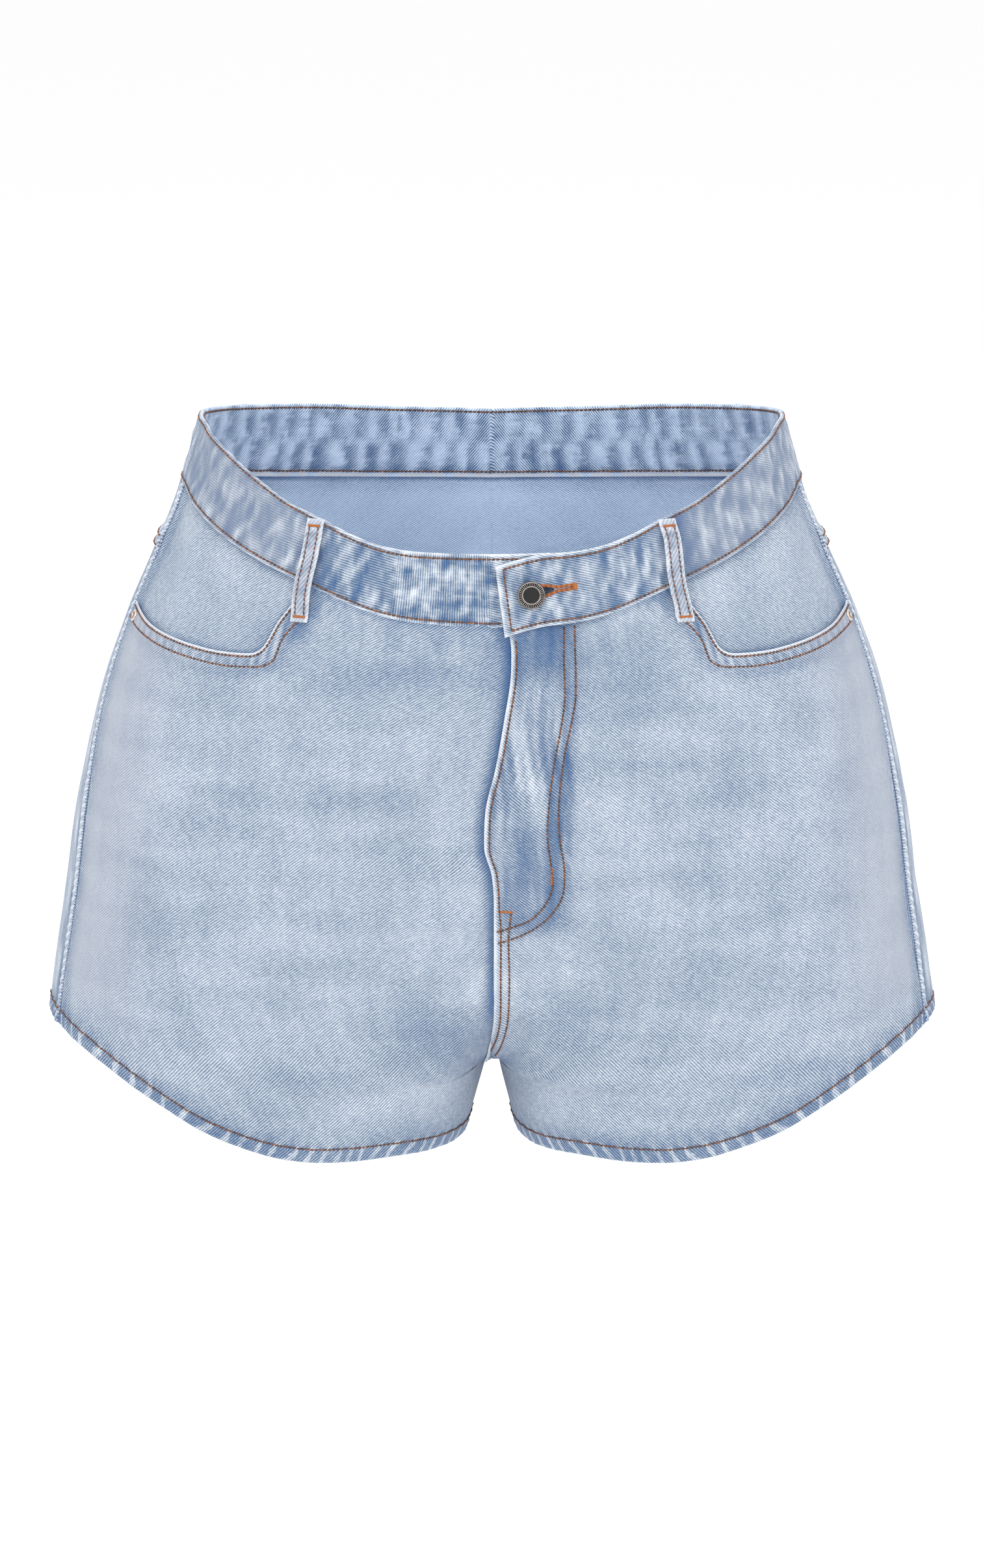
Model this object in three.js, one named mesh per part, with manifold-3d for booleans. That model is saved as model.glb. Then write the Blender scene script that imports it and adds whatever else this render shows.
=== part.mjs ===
// Denim shorts in their worn shape with no wearer: an open waist and two open legs.
// Millimetres. X points to the wearer's left, Y to the back and Z up.
// The origin is the centre of the waist opening. Left and right are the wearer's.
import * as THREE from 'three';
import { mergeVertices } from 'three/addons/utils/BufferGeometryUtils.js';
import Module from 'manifold-3d';

// Cloth and seams
const clothWall = 1.5;
const seamGap = 0.4;
const layerGap = 0.35;
const facingGap = 0.6;
const hemDepth = 11;
const hemWall = 3;

// Waistband: one strip, its wearer's left end lying on top
const bandWall = 3;
const bandProud = 1.2;
const tabEndTop = 2;
const tabEndBottom = 8;
const tabDroop = 8;
const tabDroopReach = 35;
const underlapEnd = 38;
const tabLiftEnd = 75;
const tabLift = bandWall + 3 * layerGap;

// Fly: the left front ends in an edge that lies over the right front
const flyUnderlap = 6;
const flyUnderlapTop = -252;
const flyUnderlapFoot = -262;
const flyLift = clothWall + 0.4;
const flyLiftFlat = 20;
const flyLiftFade = 30;
const flyLiftFoot = -330;
const edgeFade = 0.35;

// Belt loops
const loopWidth = 11;
const loopWall = 2.2;
const loopBelowSeam = 22;

// Metal
const buttonRadius = 8.5;
const buttonAcross = 23.9;
const buttonHeight = -44.6;
const shankRadius = 2.2;
const eyeRadius = 3.4;
const slitEnd = 49;
const slitWidth = 2;
const rivetRadius = 3.9;
const rivetHeight = 1.3;

// Where the legs part, and how fast the gap between them opens below
const crotch = -367;
const legsApartFrom = -300;
const legsApartBy = -330;
const legGap = 13.5;
const legGapRun = 62;
const outerPower = 2.3;

// The garment's level sections: half its width, and its reach to the front and back
const levels = [
  { z: 40, half: 183, front: 110, back: 112, middle: 12 },
  { z: 0, half: 195.5, front: 114, back: 118, middle: 12 },
  { z: -40, half: 212, front: 120, back: 127, middle: 12 },
  { z: -90, half: 234.5, front: 127, back: 138, middle: 12 },
  { z: -140, half: 251.5, front: 131, back: 146, middle: 12 },
  { z: -200, half: 265.5, front: 133, back: 148, middle: 10 },
  { z: -260, half: 275, front: 133, back: 142, middle: 8 },
  { z: -320, half: 285.5, front: 131, back: 132, middle: 5 },
  { z: -370, half: 292, front: 129, back: 124, middle: 2 },
  { z: -430, half: 299, front: 128, back: 118, middle: 0 },
];

// How far the two legs' centres have parted, and how square each leg is at its inner side
const parting = [
  { z: 0, part: 0, power: 6 },
  { z: -60, part: 0.05, power: 6 },
  { z: -140, part: 0.2, power: 6 },
  { z: -220, part: 0.42, power: 6 },
  { z: -290, part: 0.66, power: 6 },
  { z: -338, part: 0.82, power: 3.4 },
  { z: -354, part: 0.91, power: 3 },
  { z: -362, part: 0.96, power: 3 },
  { z: crotch, part: 1, power: 3 },
];

// Side seam's angle round the leg, and the cut widths of half the front and half the back
const cut = [
  { z: 60, side: 76, frontWidth: 212, backWidth: 250 },
  { z: 0, side: 77, frontWidth: 236, backWidth: 278 },
  { z: -40, side: 78, frontWidth: 256, backWidth: 295 },
  { z: -90, side: 77.2, frontWidth: 273, backWidth: 334 },
  { z: -140, side: 73.8, frontWidth: 282, backWidth: 366 },
  { z: -200, side: 69.8, frontWidth: 289, backWidth: 395 },
  { z: -260, side: 67.2, frontWidth: 295, backWidth: 410 },
  { z: -330, side: 65.2, frontWidth: 313, backWidth: 424 },
  { z: -365, side: 64.6, frontWidth: 342, backWidth: 452 },
  { z: -430, side: 64, frontWidth: 374, backWidth: 480 },
];
const inseamPower = 4;

// Heights round the garment, by the share u of the cloth's width:
// 0 is the centre front, 1 the side seam and 2 the centre back
const waistTop = [
  { u: 0, z: -20.5 },
  { u: 0.13, z: -20 },
  { u: 0.21, z: -19 },
  { u: 0.29, z: -16 },
  { u: 0.375, z: -9.5 },
  { u: 0.437, z: -3.5 },
  { u: 0.49, z: 1 },
  { u: 0.56, z: 6.8 },
  { u: 0.627, z: 14 },
  { u: 0.704, z: 22 },
  { u: 0.8, z: 31 },
  { u: 0.892, z: 37 },
  { u: 1, z: 42.5 },
  { u: 1.12, z: 41.5 },
  { u: 1.25, z: 37.5 },
  { u: 1.408, z: 33 },
  { u: 1.55, z: 30 },
  { u: 1.75, z: 25.7 },
  { u: 2, z: 23 },
];
const waistSeam = [
  { u: 0, z: -65 },
  { u: 0.15, z: -62.7 },
  { u: 0.22, z: -60.5 },
  { u: 0.29, z: -56.3 },
  { u: 0.37, z: -49.3 },
  { u: 0.46, z: -41.3 },
  { u: 0.627, z: -27.6 },
  { u: 0.752, z: -17 },
  { u: 0.871, z: -7.3 },
  { u: 1, z: 0.5 },
  { u: 1.12, z: -1.5 },
  { u: 1.25, z: -8 },
  { u: 1.45, z: -17 },
  { u: 1.614, z: -21 },
  { u: 1.767, z: -23.3 },
  { u: 2, z: -24.6 },
];
const pocketMouth = [
  { u: 0.452, z: -43.3 },
  { u: 0.47, z: -51 },
  { u: 0.487, z: -59 },
  { u: 0.503, z: -67 },
  { u: 0.511, z: -74 },
  { u: 0.528, z: -80.5 },
  { u: 0.56, z: -84 },
  { u: 0.62, z: -85.5 },
  { u: 0.7, z: -84.8 },
  { u: 0.8, z: -82.1 },
  { u: 0.867, z: -79.4 },
  { u: 0.936, z: -75.5 },
  { u: 1, z: -72.5 },
];
const facingFoot = [
  { u: 0.42, z: -78 },
  { u: 0.5, z: -95 },
  { u: 0.62, z: -101 },
  { u: 0.8, z: -98 },
  { u: 1, z: -90 },
];
const yokeSeam = [
  { u: 1, z: -36 },
  { u: 1.3, z: -46 },
  { u: 1.6, z: -66 },
  { u: 2, z: -90 },
];
const hem = [
  { u: 0, z: -419 },
  { u: 0.12, z: -417.5 },
  { u: 0.217, z: -415.8 },
  { u: 0.33, z: -413.6 },
  { u: 0.419, z: -412.7 },
  { u: 0.462, z: -411.4 },
  { u: 0.523, z: -407 },
  { u: 0.58, z: -399.5 },
  { u: 0.638, z: -390 },
  { u: 0.713, z: -374.6 },
  { u: 0.789, z: -361.5 },
  { u: 0.873, z: -351 },
  { u: 0.94, z: -346 },
  { u: 1, z: -343.5 },
  { u: 1.07, z: -345 },
  { u: 1.18, z: -356 },
  { u: 1.3, z: -374 },
  { u: 1.42, z: -393 },
  { u: 1.52, z: -405 },
  { u: 1.62, z: -412 },
  { u: 1.75, z: -416 },
  { u: 2, z: -419 },
];

// Fly edge's distance past the centre line, to the wearer's left
const flyEdge = [
  { z: -60, across: 9 },
  { z: -80, across: 12 },
  { z: -95, across: 11.6 },
  { z: -119, across: 8 },
  { z: -150, across: 2.6 },
  { z: -180, across: -4 },
  { z: -201, across: -4.6 },
  { z: -219, across: 0 },
  { z: -241, across: 1.4 },
  { z: -313, across: 1.4 },
  { z: -330, across: 0 },
];

// How far a belt loop's inner face stands off the panels along its length, from its top
const loopStand = [
  { t: 0, off: 1.6 },
  { t: 0.07, off: 1.8 },
  { t: 0.2, off: 3.3 },
  { t: 0.5, off: 3.9 },
  { t: 0.66, off: 3.6 },
  { t: 0.8, off: 2.6 },
  { t: 0.92, off: 0.6 },
  { t: 1, off: 0.4 },
];
const loops = [
  { name: 'belt_loop_front_left', top: 0.463, foot: 0.447 },
  { name: 'belt_loop_front_right', top: -0.463, foot: -0.447 },
  { name: 'belt_loop_back_left', top: 1.36, foot: 1.355 },
  { name: 'belt_loop_back_right', top: -1.36, foot: -1.355 },
  { name: 'belt_loop_back_centre', top: 2, foot: 2 },
];
const rivets = [
  { name: 'rivet_inner_left', u: 0.455, z: -50.5 },
  { name: 'rivet_inner_right', u: -0.455, z: -50.5 },
  { name: 'rivet_outer_left', u: 0.955, z: -80.5 },
  { name: 'rivet_outer_right', u: -0.955, z: -80.5 },
];

const wasm = await Module();
wasm.setup();

// A smooth curve through a table's rows, flat wherever the values turn back
function along(rows, key, column, at) {
  const sorted = [...rows].sort((a, b) => a[key] - b[key]);
  const last = sorted.length - 1;
  const x = THREE.MathUtils.clamp(at, sorted[0][key], sorted[last][key]);
  let i = 0;
  while (i < last - 1 && x > sorted[i + 1][key]) i += 1;
  const rise = (k) =>
    (sorted[k + 1][column] - sorted[k][column]) / (sorted[k + 1][key] - sorted[k][key]);
  const slope = (k) => {
    if (k === 0) return rise(0);
    if (k === last) return rise(last - 1);
    const before = rise(k - 1);
    const after = rise(k);
    if (before * after <= 0) return 0;
    const steepest = 3 * Math.min(Math.abs(before), Math.abs(after));
    return Math.sign(before) * Math.min(Math.abs(before + after) / 2, steepest);
  };
  const step = sorted[i + 1][key] - sorted[i][key];
  const t = (x - sorted[i][key]) / step;
  const t2 = t * t;
  const t3 = t2 * t;
  return (2 * t3 - 3 * t2 + 1) * sorted[i][column]
    + (t3 - 2 * t2 + t) * step * slope(i)
    + (3 * t2 - 2 * t3) * sorted[i + 1][column]
    + (t3 - t2) * step * slope(i + 1);
}

function ease(t) {
  return THREE.MathUtils.smoothstep(t, 0, 1);
}

// One leg's level section, whose centre moves out from the middle line as the legs part
function sectionAt(z) {
  const half = along(levels, 'z', 'half', z);
  const part = along(parting, 'z', 'part', z);
  const gap = legGap * Math.sqrt(Math.max(0, (crotch - z) / legGapRun));
  const centre = z >= crotch ? (half * part) / (1 + part) : (half + gap) / 2;
  return {
    z,
    centre,
    reach: half - centre,
    part,
    power: along(parting, 'z', 'power', z),
    front: along(levels, 'z', 'front', z),
    back: along(levels, 'z', 'back', z),
    middle: along(levels, 'z', 'middle', z),
  };
}

// Angle 0 faces the front, 90 degrees the wearer's left and 180 degrees the back
function sectionPoint(section, angle) {
  const s = Math.sin(angle);
  const c = Math.cos(angle);
  const power = s < 0 ? section.power : outerPower;
  const r = (Math.abs(s) ** power + Math.abs(c) ** power) ** (-1 / power);
  const depth = c > 0 ? section.front + section.middle : section.back - section.middle;
  const x = section.centre + section.reach * s * r;
  return new THREE.Vector3(x, section.middle - depth * c * r, section.z);
}

// The angles of half the front, centre to side, or half the back, side to centre,
// with the distance of each from the side seam
const arcCache = new Map();
function arcAt(z, back) {
  const key = `${z.toFixed(3)} ${back}`;
  if (arcCache.has(key)) return arcCache.get(key);
  const section = sectionAt(z);
  const y = Math.max(0, 1 - section.part ** section.power) ** (1 / section.power);
  const first = Math.atan2(-section.part, y);
  const side = THREE.MathUtils.degToRad(along(cut, 'z', 'side', z));
  const centre = back ? Math.PI - first : first;
  const steps = 120;
  const angles = [side];
  const lengths = [0];
  let last = sectionPoint(section, side);
  for (let i = 1; i <= steps; i += 1) {
    const angle = side + ((centre - side) * i) / steps;
    const point = sectionPoint(section, angle);
    angles.push(angle);
    lengths.push(lengths[i - 1] + point.distanceTo(last));
    last = point;
  }
  const arc = { angles, lengths, total: lengths[steps] };
  arcCache.set(key, arc);
  return arc;
}

function angleFromSide(arc, distance) {
  const { angles, lengths } = arc;
  let i = 1;
  while (i < lengths.length - 1 && lengths[i] < distance) i += 1;
  const t = (distance - lengths[i - 1]) / (lengths[i] - lengths[i - 1]);
  return angles[i - 1] + t * (angles[i] - angles[i - 1]);
}

// Distance from the side seam of the share u, 0 to 2, at a height
function distanceFromSide(u, z) {
  const back = u > 1;
  const share = Math.abs(u - 1);
  const width = along(cut, 'z', back ? 'backWidth' : 'frontWidth', z);
  return share * width + (arcAt(z, back).total - width) * share ** inseamPower;
}

// The body's point and outward normal, on the wearer's left half
function surfaceAt(angle, z) {
  const turn = 0.004;
  const rise = 0.5;
  const section = sectionAt(z);
  const point = sectionPoint(section, angle);
  const round = sectionPoint(section, angle + turn).sub(sectionPoint(section, angle - turn));
  const up = sectionPoint(sectionAt(z + rise), angle)
    .sub(sectionPoint(sectionAt(z - rise), angle));
  return { point, normal: round.cross(up).normalize() };
}

// The same, for a place given by its share u, signed by side, and moved `shift` mm
// away from the centre line. Past a centre line it goes on round the other half
function clothAt(u, z, shift = 0) {
  let side = u < 0 ? -1 : 1;
  let share = Math.abs(u);
  if (share > 2) {
    share = 4 - share;
    side = -side;
  }
  const back = share > 1;
  const arc = arcAt(z, back);
  let distance = distanceFromSide(share, z) - shift;
  if (distance > arc.total) {
    distance = 2 * arc.total - distance;
    side = -side;
  }
  const { point, normal } = surfaceAt(angleFromSide(arc, Math.max(0, distance)), z);
  point.x += (seamGap / 2) * ease((z - legsApartFrom) / (legsApartBy - legsApartFrom));
  point.x *= side;
  normal.x *= side;
  return { point, normal };
}

// A closed wall between an outer and an inner grid of points
function wall(outer, inner) {
  const rows = outer.length;
  const columns = outer[0].length;
  const positions = [];
  const add = (grid) => grid.forEach((row) => row.forEach((p) => positions.push(...p.toArray())));
  add(outer);
  add(inner);
  const out = (i, j) => i * columns + j;
  const inn = (i, j) => rows * columns + i * columns + j;
  const index = [];
  const quad = (a, b, c, d) => index.push(a, b, c, a, c, d);
  for (let i = 0; i < rows - 1; i += 1) {
    for (let j = 0; j < columns - 1; j += 1) {
      quad(out(i, j), out(i + 1, j), out(i + 1, j + 1), out(i, j + 1));
      quad(inn(i, j), inn(i, j + 1), inn(i + 1, j + 1), inn(i + 1, j));
    }
  }
  for (let i = 0; i < rows - 1; i += 1) {
    quad(out(i, 0), inn(i, 0), inn(i + 1, 0), out(i + 1, 0));
    quad(out(i, columns - 1), out(i + 1, columns - 1), inn(i + 1, columns - 1), inn(i, columns - 1));
  }
  for (let j = 0; j < columns - 1; j += 1) {
    quad(out(0, j), out(0, j + 1), inn(0, j + 1), inn(0, j));
    quad(out(rows - 1, j), inn(rows - 1, j), inn(rows - 1, j + 1), out(rows - 1, j + 1));
  }
  const geometry = new THREE.BufferGeometry();
  geometry.setAttribute('position', new THREE.Float32BufferAttribute(positions, 3));
  geometry.setIndex(index);
  return geometry;
}

// Rows run from the top down, columns from the wearer's right to left seen from outside
function clothWallFrom(rows, columns, place) {
  const outer = [];
  const inner = [];
  for (const row of rows) {
    const outerRow = [];
    const innerRow = [];
    for (const column of columns) {
      const { point, normal, proud = 0, thick = clothWall } = place(column, row);
      outerRow.push(point.clone().addScaledVector(normal, proud));
      innerRow.push(point.clone().addScaledVector(normal, proud - thick));
    }
    outer.push(outerRow);
    inner.push(innerRow);
  }
  return wall(outer, inner);
}

function spread(from, to, count) {
  return Array.from({ length: count + 1 }, (_, i) => from + ((to - from) * i) / count);
}

// Columns as shares of the cloth's width, half a seam's gap short of each seam
const halfSeam = 0.0007;
const frontColumns = [
  halfSeam, 0.024,
  ...spread(0.048, 0.42, 8),
  0.452, 0.47, 0.487, 0.503, 0.511, 0.528,
  ...spread(0.56, 1 - halfSeam, 8),
];
const backColumns = spread(1 + halfSeam, 2 - halfSeam, 17);
const facingColumns = [...frontColumns.slice(10, -1), 1 - 2 * halfSeam];

// Rows as shares of a panel's height, closer together where the legs part, with one row
// at the crotch itself. The back's rows meet the front's at the side seam
const hemStep = 0.6;
const rowShares = [
  0, 0.07, 0.15, 0.24, 0.33, 0.42, 0.51, 0.59, 0.66, 0.712, 0.734, 0.765, 0.795, 0.818,
  0.834, 0.844, 0.865, 0.9,
];

function shareDown(rows, u, z) {
  const top = along(rows, 'u', 'z', u);
  return (top - z) / (top - along(hem, 'u', 'z', u));
}

function withRowAt(share, shares) {
  const apart = shares.filter((v) => Math.abs(v - share) > 0.006);
  return [...apart, share].sort((a, b) => a - b);
}

const frontRows = withRowAt(shareDown(waistSeam, 0, crotch), rowShares);
const meetRow = shareDown(yokeSeam, 1, pocketMouth.at(-1).z);
const belowMouth = rowShares.map((v) => meetRow + (1 - meetRow) * v);
const backRows = withRowAt(shareDown(yokeSeam, 2, crotch), [0, meetRow / 2, ...belowMouth]);

function heightsOf(top, foot, shares) {
  const heights = shares.map((v) => ({ z: top + (foot - top) * v, thick: clothWall }));
  heights.push({ z: foot + hemDepth + hemStep, thick: clothWall });
  heights.push({ z: foot + hemDepth, thick: hemWall });
  heights.push({ z: foot, thick: hemWall });
  return heights;
}

function droopAt(across) {
  return tabDroop * Math.max(0, 1 - Math.max(0, across) / tabDroopReach) ** 1.5;
}

// How far the front's edge lies past the centre line at a height
function frontEdgeAt(side, z) {
  const edge = along(flyEdge, 'z', 'across', z);
  if (side > 0) return edge;
  const fade = ease((z - flyUnderlapFoot) / (flyUnderlapTop - flyUnderlapFoot));
  return -edge - flyUnderlap * fade;
}

function frontWidthAt(u, z) {
  return arcAt(z, false).total - distanceFromSide(u, z);
}

function frontPanel(side) {
  const rows = spread(0, frontRows.length + 2, frontRows.length + 2);
  const columns = side > 0 ? frontColumns : [...frontColumns].reverse();
  return clothWallFrom(rows, columns, (u, row) => {
    const fade = Math.max(0, 1 - u / edgeFade);
    const topShift = frontEdgeAt(side, waistSeam[0].z) * fade;
    const topShare = u + topShift / along(cut, 'z', 'frontWidth', waistSeam[0].z);
    let top = along(waistSeam, 'u', 'z', topShare) - seamGap;
    if (u > pocketMouth[0].u) top = Math.min(top, along(pocketMouth, 'u', 'z', u));
    if (side > 0) top -= droopAt(frontWidthAt(u, top) + topShift);
    const { z, thick } = heightsOf(top, along(hem, 'u', 'z', u), frontRows)[row];
    const shift = frontEdgeAt(side, z) * fade;
    const across = frontWidthAt(u, z) + shift;
    const flat = 1 - ease((across - flyLiftFlat) / flyLiftFade);
    const high = ease((z - flyLiftFoot) / (flyUnderlapFoot - flyLiftFoot));
    const proud = side > 0 ? flyLift * flat * high : 0;
    return { ...clothAt(side * u, z, shift), proud, thick };
  });
}

function backPanel(side) {
  const rows = spread(0, backRows.length + 2, backRows.length + 2);
  const columns = side > 0 ? backColumns : [...backColumns].reverse();
  return clothWallFrom(rows, columns, (u, row) => {
    const top = along(yokeSeam, 'u', 'z', u) - seamGap;
    const { z, thick } = heightsOf(top, along(hem, 'u', 'z', u), backRows)[row];
    return { ...clothAt(side * u, z), thick };
  });
}

function backYoke(side) {
  const columns = side > 0 ? backColumns : [...backColumns].reverse();
  return clothWallFrom([0, 0.5, 1], columns, (u, row) => {
    const top = along(waistSeam, 'u', 'z', u) - seamGap;
    const z = THREE.MathUtils.lerp(top, along(yokeSeam, 'u', 'z', u), row);
    return clothAt(side * u, z);
  });
}

function pocketFacing(side) {
  const columns = side > 0 ? facingColumns : [...facingColumns].reverse();
  return clothWallFrom(spread(0, 1, 4), columns, (u, row) => {
    const top = along(waistSeam, 'u', 'z', u) - seamGap;
    const z = THREE.MathUtils.lerp(top, along(facingFoot, 'u', 'z', u), row);
    return { ...clothAt(side * u, z), proud: -clothWall - facingGap };
  });
}

// The band's columns run from the end on top, round the back, to the end underneath
function waistbandStrip() {
  const left = [...spread(0.02, 0.42, 10), ...frontColumns.slice(11)];
  const right = [...frontColumns].reverse().map((u) => 4 - u);
  const back = [...backColumns.slice(1, -1), 2, ...backColumns.slice(1, -1).reverse().map((u) => 4 - u)];
  const under = [4.05, 4.1, 4 + underlapEnd / along(cut, 'z', 'frontWidth', buttonHeight)];
  const round = [...left, ...back, ...right, ...under];
  return clothWallFrom([0, 0.5, 1], round, (place, row) => {
    const onTop = place < 2;
    const u = place > 2 ? place - 4 : place;
    const share = Math.abs(u);
    const top = along(waistTop, 'u', 'z', share);
    const foot = along(waistSeam, 'u', 'z', share);
    const level = THREE.MathUtils.lerp(top, foot, row);
    const whole = frontWidthAt(Math.min(share, 1), level);
    const end = THREE.MathUtils.lerp(tabEndTop, tabEndBottom, row);
    const across = place === round[0] ? end : whole;
    const shift = across - whole;
    const z = onTop ? level - droopAt(across) : level;
    const lift = onTop ? 1 - ease((across - underlapEnd - 4) / (tabLiftEnd - underlapEnd)) : 0;
    return { ...clothAt(u, z, shift), proud: bandProud + tabLift * lift, thick: bandWall };
  });
}

function toManifold(geometry) {
  const bare = geometry.clone();
  bare.deleteAttribute('normal');
  bare.deleteAttribute('uv');
  const merged = mergeVertices(bare, 1e-4);
  return new wasm.Manifold(new wasm.Mesh({
    numProp: 3,
    vertProperties: merged.attributes.position.array,
    triVerts: new Uint32Array(merged.index.array),
  }));
}

function fromManifold(solid) {
  const mesh = solid.getMesh();
  const geometry = new THREE.BufferGeometry();
  geometry.setAttribute('position', new THREE.BufferAttribute(mesh.vertProperties, 3));
  geometry.setIndex(new THREE.BufferAttribute(mesh.triVerts, 1));
  return geometry;
}

// A frame whose Z axis stands out of the cloth, with X level
function frameOn({ point, normal }) {
  const level = new THREE.Vector3(0, 0, 1).cross(normal).normalize();
  const up = normal.clone().cross(level);
  return new THREE.Matrix4().makeBasis(level, up, normal).setPosition(point);
}

const buttonPlace = clothAt(
  buttonAcross / along(cut, 'z', 'frontWidth', buttonHeight),
  buttonHeight,
);

// Keyhole buttonhole: a round eye under the button and a slit away from the end
function buttonholeCutter() {
  const shape = new THREE.Shape();
  const half = slitWidth / 2;
  const meet = Math.asin(half / eyeRadius);
  shape.absarc(0, 0, eyeRadius, meet, 2 * Math.PI - meet, false);
  shape.lineTo(slitEnd - buttonAcross, -half);
  shape.lineTo(slitEnd - buttonAcross, half);
  const options = { depth: 24, bevelEnabled: false, curveSegments: 16 };
  const cutter = new THREE.ExtrudeGeometry(shape, options);
  cutter.translate(0, 0, -bandWall / 2 + layerGap + bandProud + bandWall / 2 - 0.1);
  return cutter.applyMatrix4(frameOn(buttonPlace));
}

function waistband() {
  const strip = toManifold(waistbandStrip());
  return fromManifold(strip.subtract(toManifold(buttonholeCutter())));
}

function lathe(profile, segments, place) {
  const points = profile.map(([x, y]) => new THREE.Vector2(x, y));
  const geometry = new THREE.LatheGeometry(points, segments);
  geometry.deleteAttribute('normal');
  geometry.deleteAttribute('uv');
  geometry.rotateX(Math.PI / 2);
  return mergeVertices(geometry, 1e-4).applyMatrix4(frameOn(place));
}

// Button: a rolled ring round a sunk disc, on a shank that goes down to the lower layer
function button() {
  const base = bandProud + layerGap;
  const seat = bandProud + tabLift + layerGap;
  const ring = buttonRadius - 3;
  const profile = [
    [0, base],
    [shankRadius, base],
    [shankRadius, seat],
    [buttonRadius - 1, seat],
    [buttonRadius, seat + 1],
    [buttonRadius - 0.8, seat + 2.2],
    [buttonRadius - 2, seat + 2.5],
    [ring, seat + 1.7],
    [0, seat + 1.9],
  ];
  return lathe(profile, 28, buttonPlace);
}

function rivet({ u, z }) {
  const seat = layerGap;
  const profile = [
    [0, seat],
    [rivetRadius, seat],
    [rivetRadius, seat + rivetHeight * 0.3],
    [rivetRadius * 0.75, seat + rivetHeight * 0.85],
    [0, seat + rivetHeight],
  ];
  return lathe(profile, 14, clothAt(u, z));
}

// A loop's strip, from the waistband's top edge to below its seam
function beltLoop({ top, foot }) {
  const stations = [0, 0.07, 0.14, 0.22, 0.36, 0.5, 0.64, 0.74, 0.84, 0.92, 1];
  return clothWallFrom(stations, [-1, -0.34, 0.34, 1], (edge, t) => {
    const share = Math.abs(THREE.MathUtils.lerp(top, foot, t));
    const start = along(waistTop, 'u', 'z', share) - 1;
    const end = along(waistSeam, 'u', 'z', share) - loopBelowSeam;
    const z = THREE.MathUtils.lerp(start, end, t);
    const width = along(cut, 'z', share > 1 ? 'backWidth' : 'frontWidth', z);
    const u = THREE.MathUtils.lerp(top, foot, t) + (edge * loopWidth) / (2 * width);
    const stand = along(loopStand, 't', 'off', t);
    return { ...clothAt(u, z), proud: stand + loopWall, thick: loopWall };
  });
}

const denim = new THREE.MeshStandardMaterial({ color: 0xb6c1d4, roughness: 0.92 });
const bandDenim = new THREE.MeshStandardMaterial({ color: 0xa5b4c9, roughness: 0.92 });
const facingDenim = new THREE.MeshStandardMaterial({ color: 0xb7c2d4, roughness: 0.92 });
const steel = new THREE.MeshStandardMaterial({ color: 0x8d8f94, roughness: 0.35, metalness: 1 });
const copper = new THREE.MeshStandardMaterial({ color: 0xb08a70, roughness: 0.4, metalness: 1 });

const shorts = new THREE.Group();

function addPiece(name, geometry, material) {
  const mesh = new THREE.Mesh(geometry, material.clone());
  mesh.name = name;
  shorts.add(mesh);
}

addPiece('waistband', waistband(), bandDenim);
for (const [hand, side] of [['left', 1], ['right', -1]]) {
  addPiece(`front_panel_${hand}`, frontPanel(side), denim);
  addPiece(`pocket_facing_${hand}`, pocketFacing(side), facingDenim);
  addPiece(`back_yoke_${hand}`, backYoke(side), denim);
  addPiece(`back_panel_${hand}`, backPanel(side), denim);
}
for (const loop of loops) addPiece(loop.name, beltLoop(loop), bandDenim);
addPiece('waist_button', button(), steel);
for (const place of rivets) addPiece(place.name, rivet(place), copper);

export default shorts;
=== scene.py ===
import math

import bpy
import numpy as np
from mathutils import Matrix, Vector


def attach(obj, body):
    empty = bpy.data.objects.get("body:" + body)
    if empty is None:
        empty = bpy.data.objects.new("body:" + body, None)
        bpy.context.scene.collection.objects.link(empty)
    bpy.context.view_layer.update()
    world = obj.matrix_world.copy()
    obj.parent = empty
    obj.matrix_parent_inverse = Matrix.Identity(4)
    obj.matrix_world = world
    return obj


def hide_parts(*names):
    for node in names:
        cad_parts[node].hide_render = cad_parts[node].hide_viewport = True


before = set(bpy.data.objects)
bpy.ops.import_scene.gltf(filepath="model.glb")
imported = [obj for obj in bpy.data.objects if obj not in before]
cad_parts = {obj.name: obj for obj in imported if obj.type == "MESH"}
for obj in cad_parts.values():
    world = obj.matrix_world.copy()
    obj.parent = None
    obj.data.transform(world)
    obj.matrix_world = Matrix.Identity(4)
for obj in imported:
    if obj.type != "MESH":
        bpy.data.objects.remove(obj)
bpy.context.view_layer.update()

# Sizes are in millimetres and become metres only in the meshes.
# X points to the wearer's left, Y to the back and Z up; left and right are the wearer's.
# A place on the cloth is a share u of its width, 0 at the centre front, 1 at the side seam
# and 2 at the centre back, with a height z; u is negative on the wearer's right.

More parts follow.
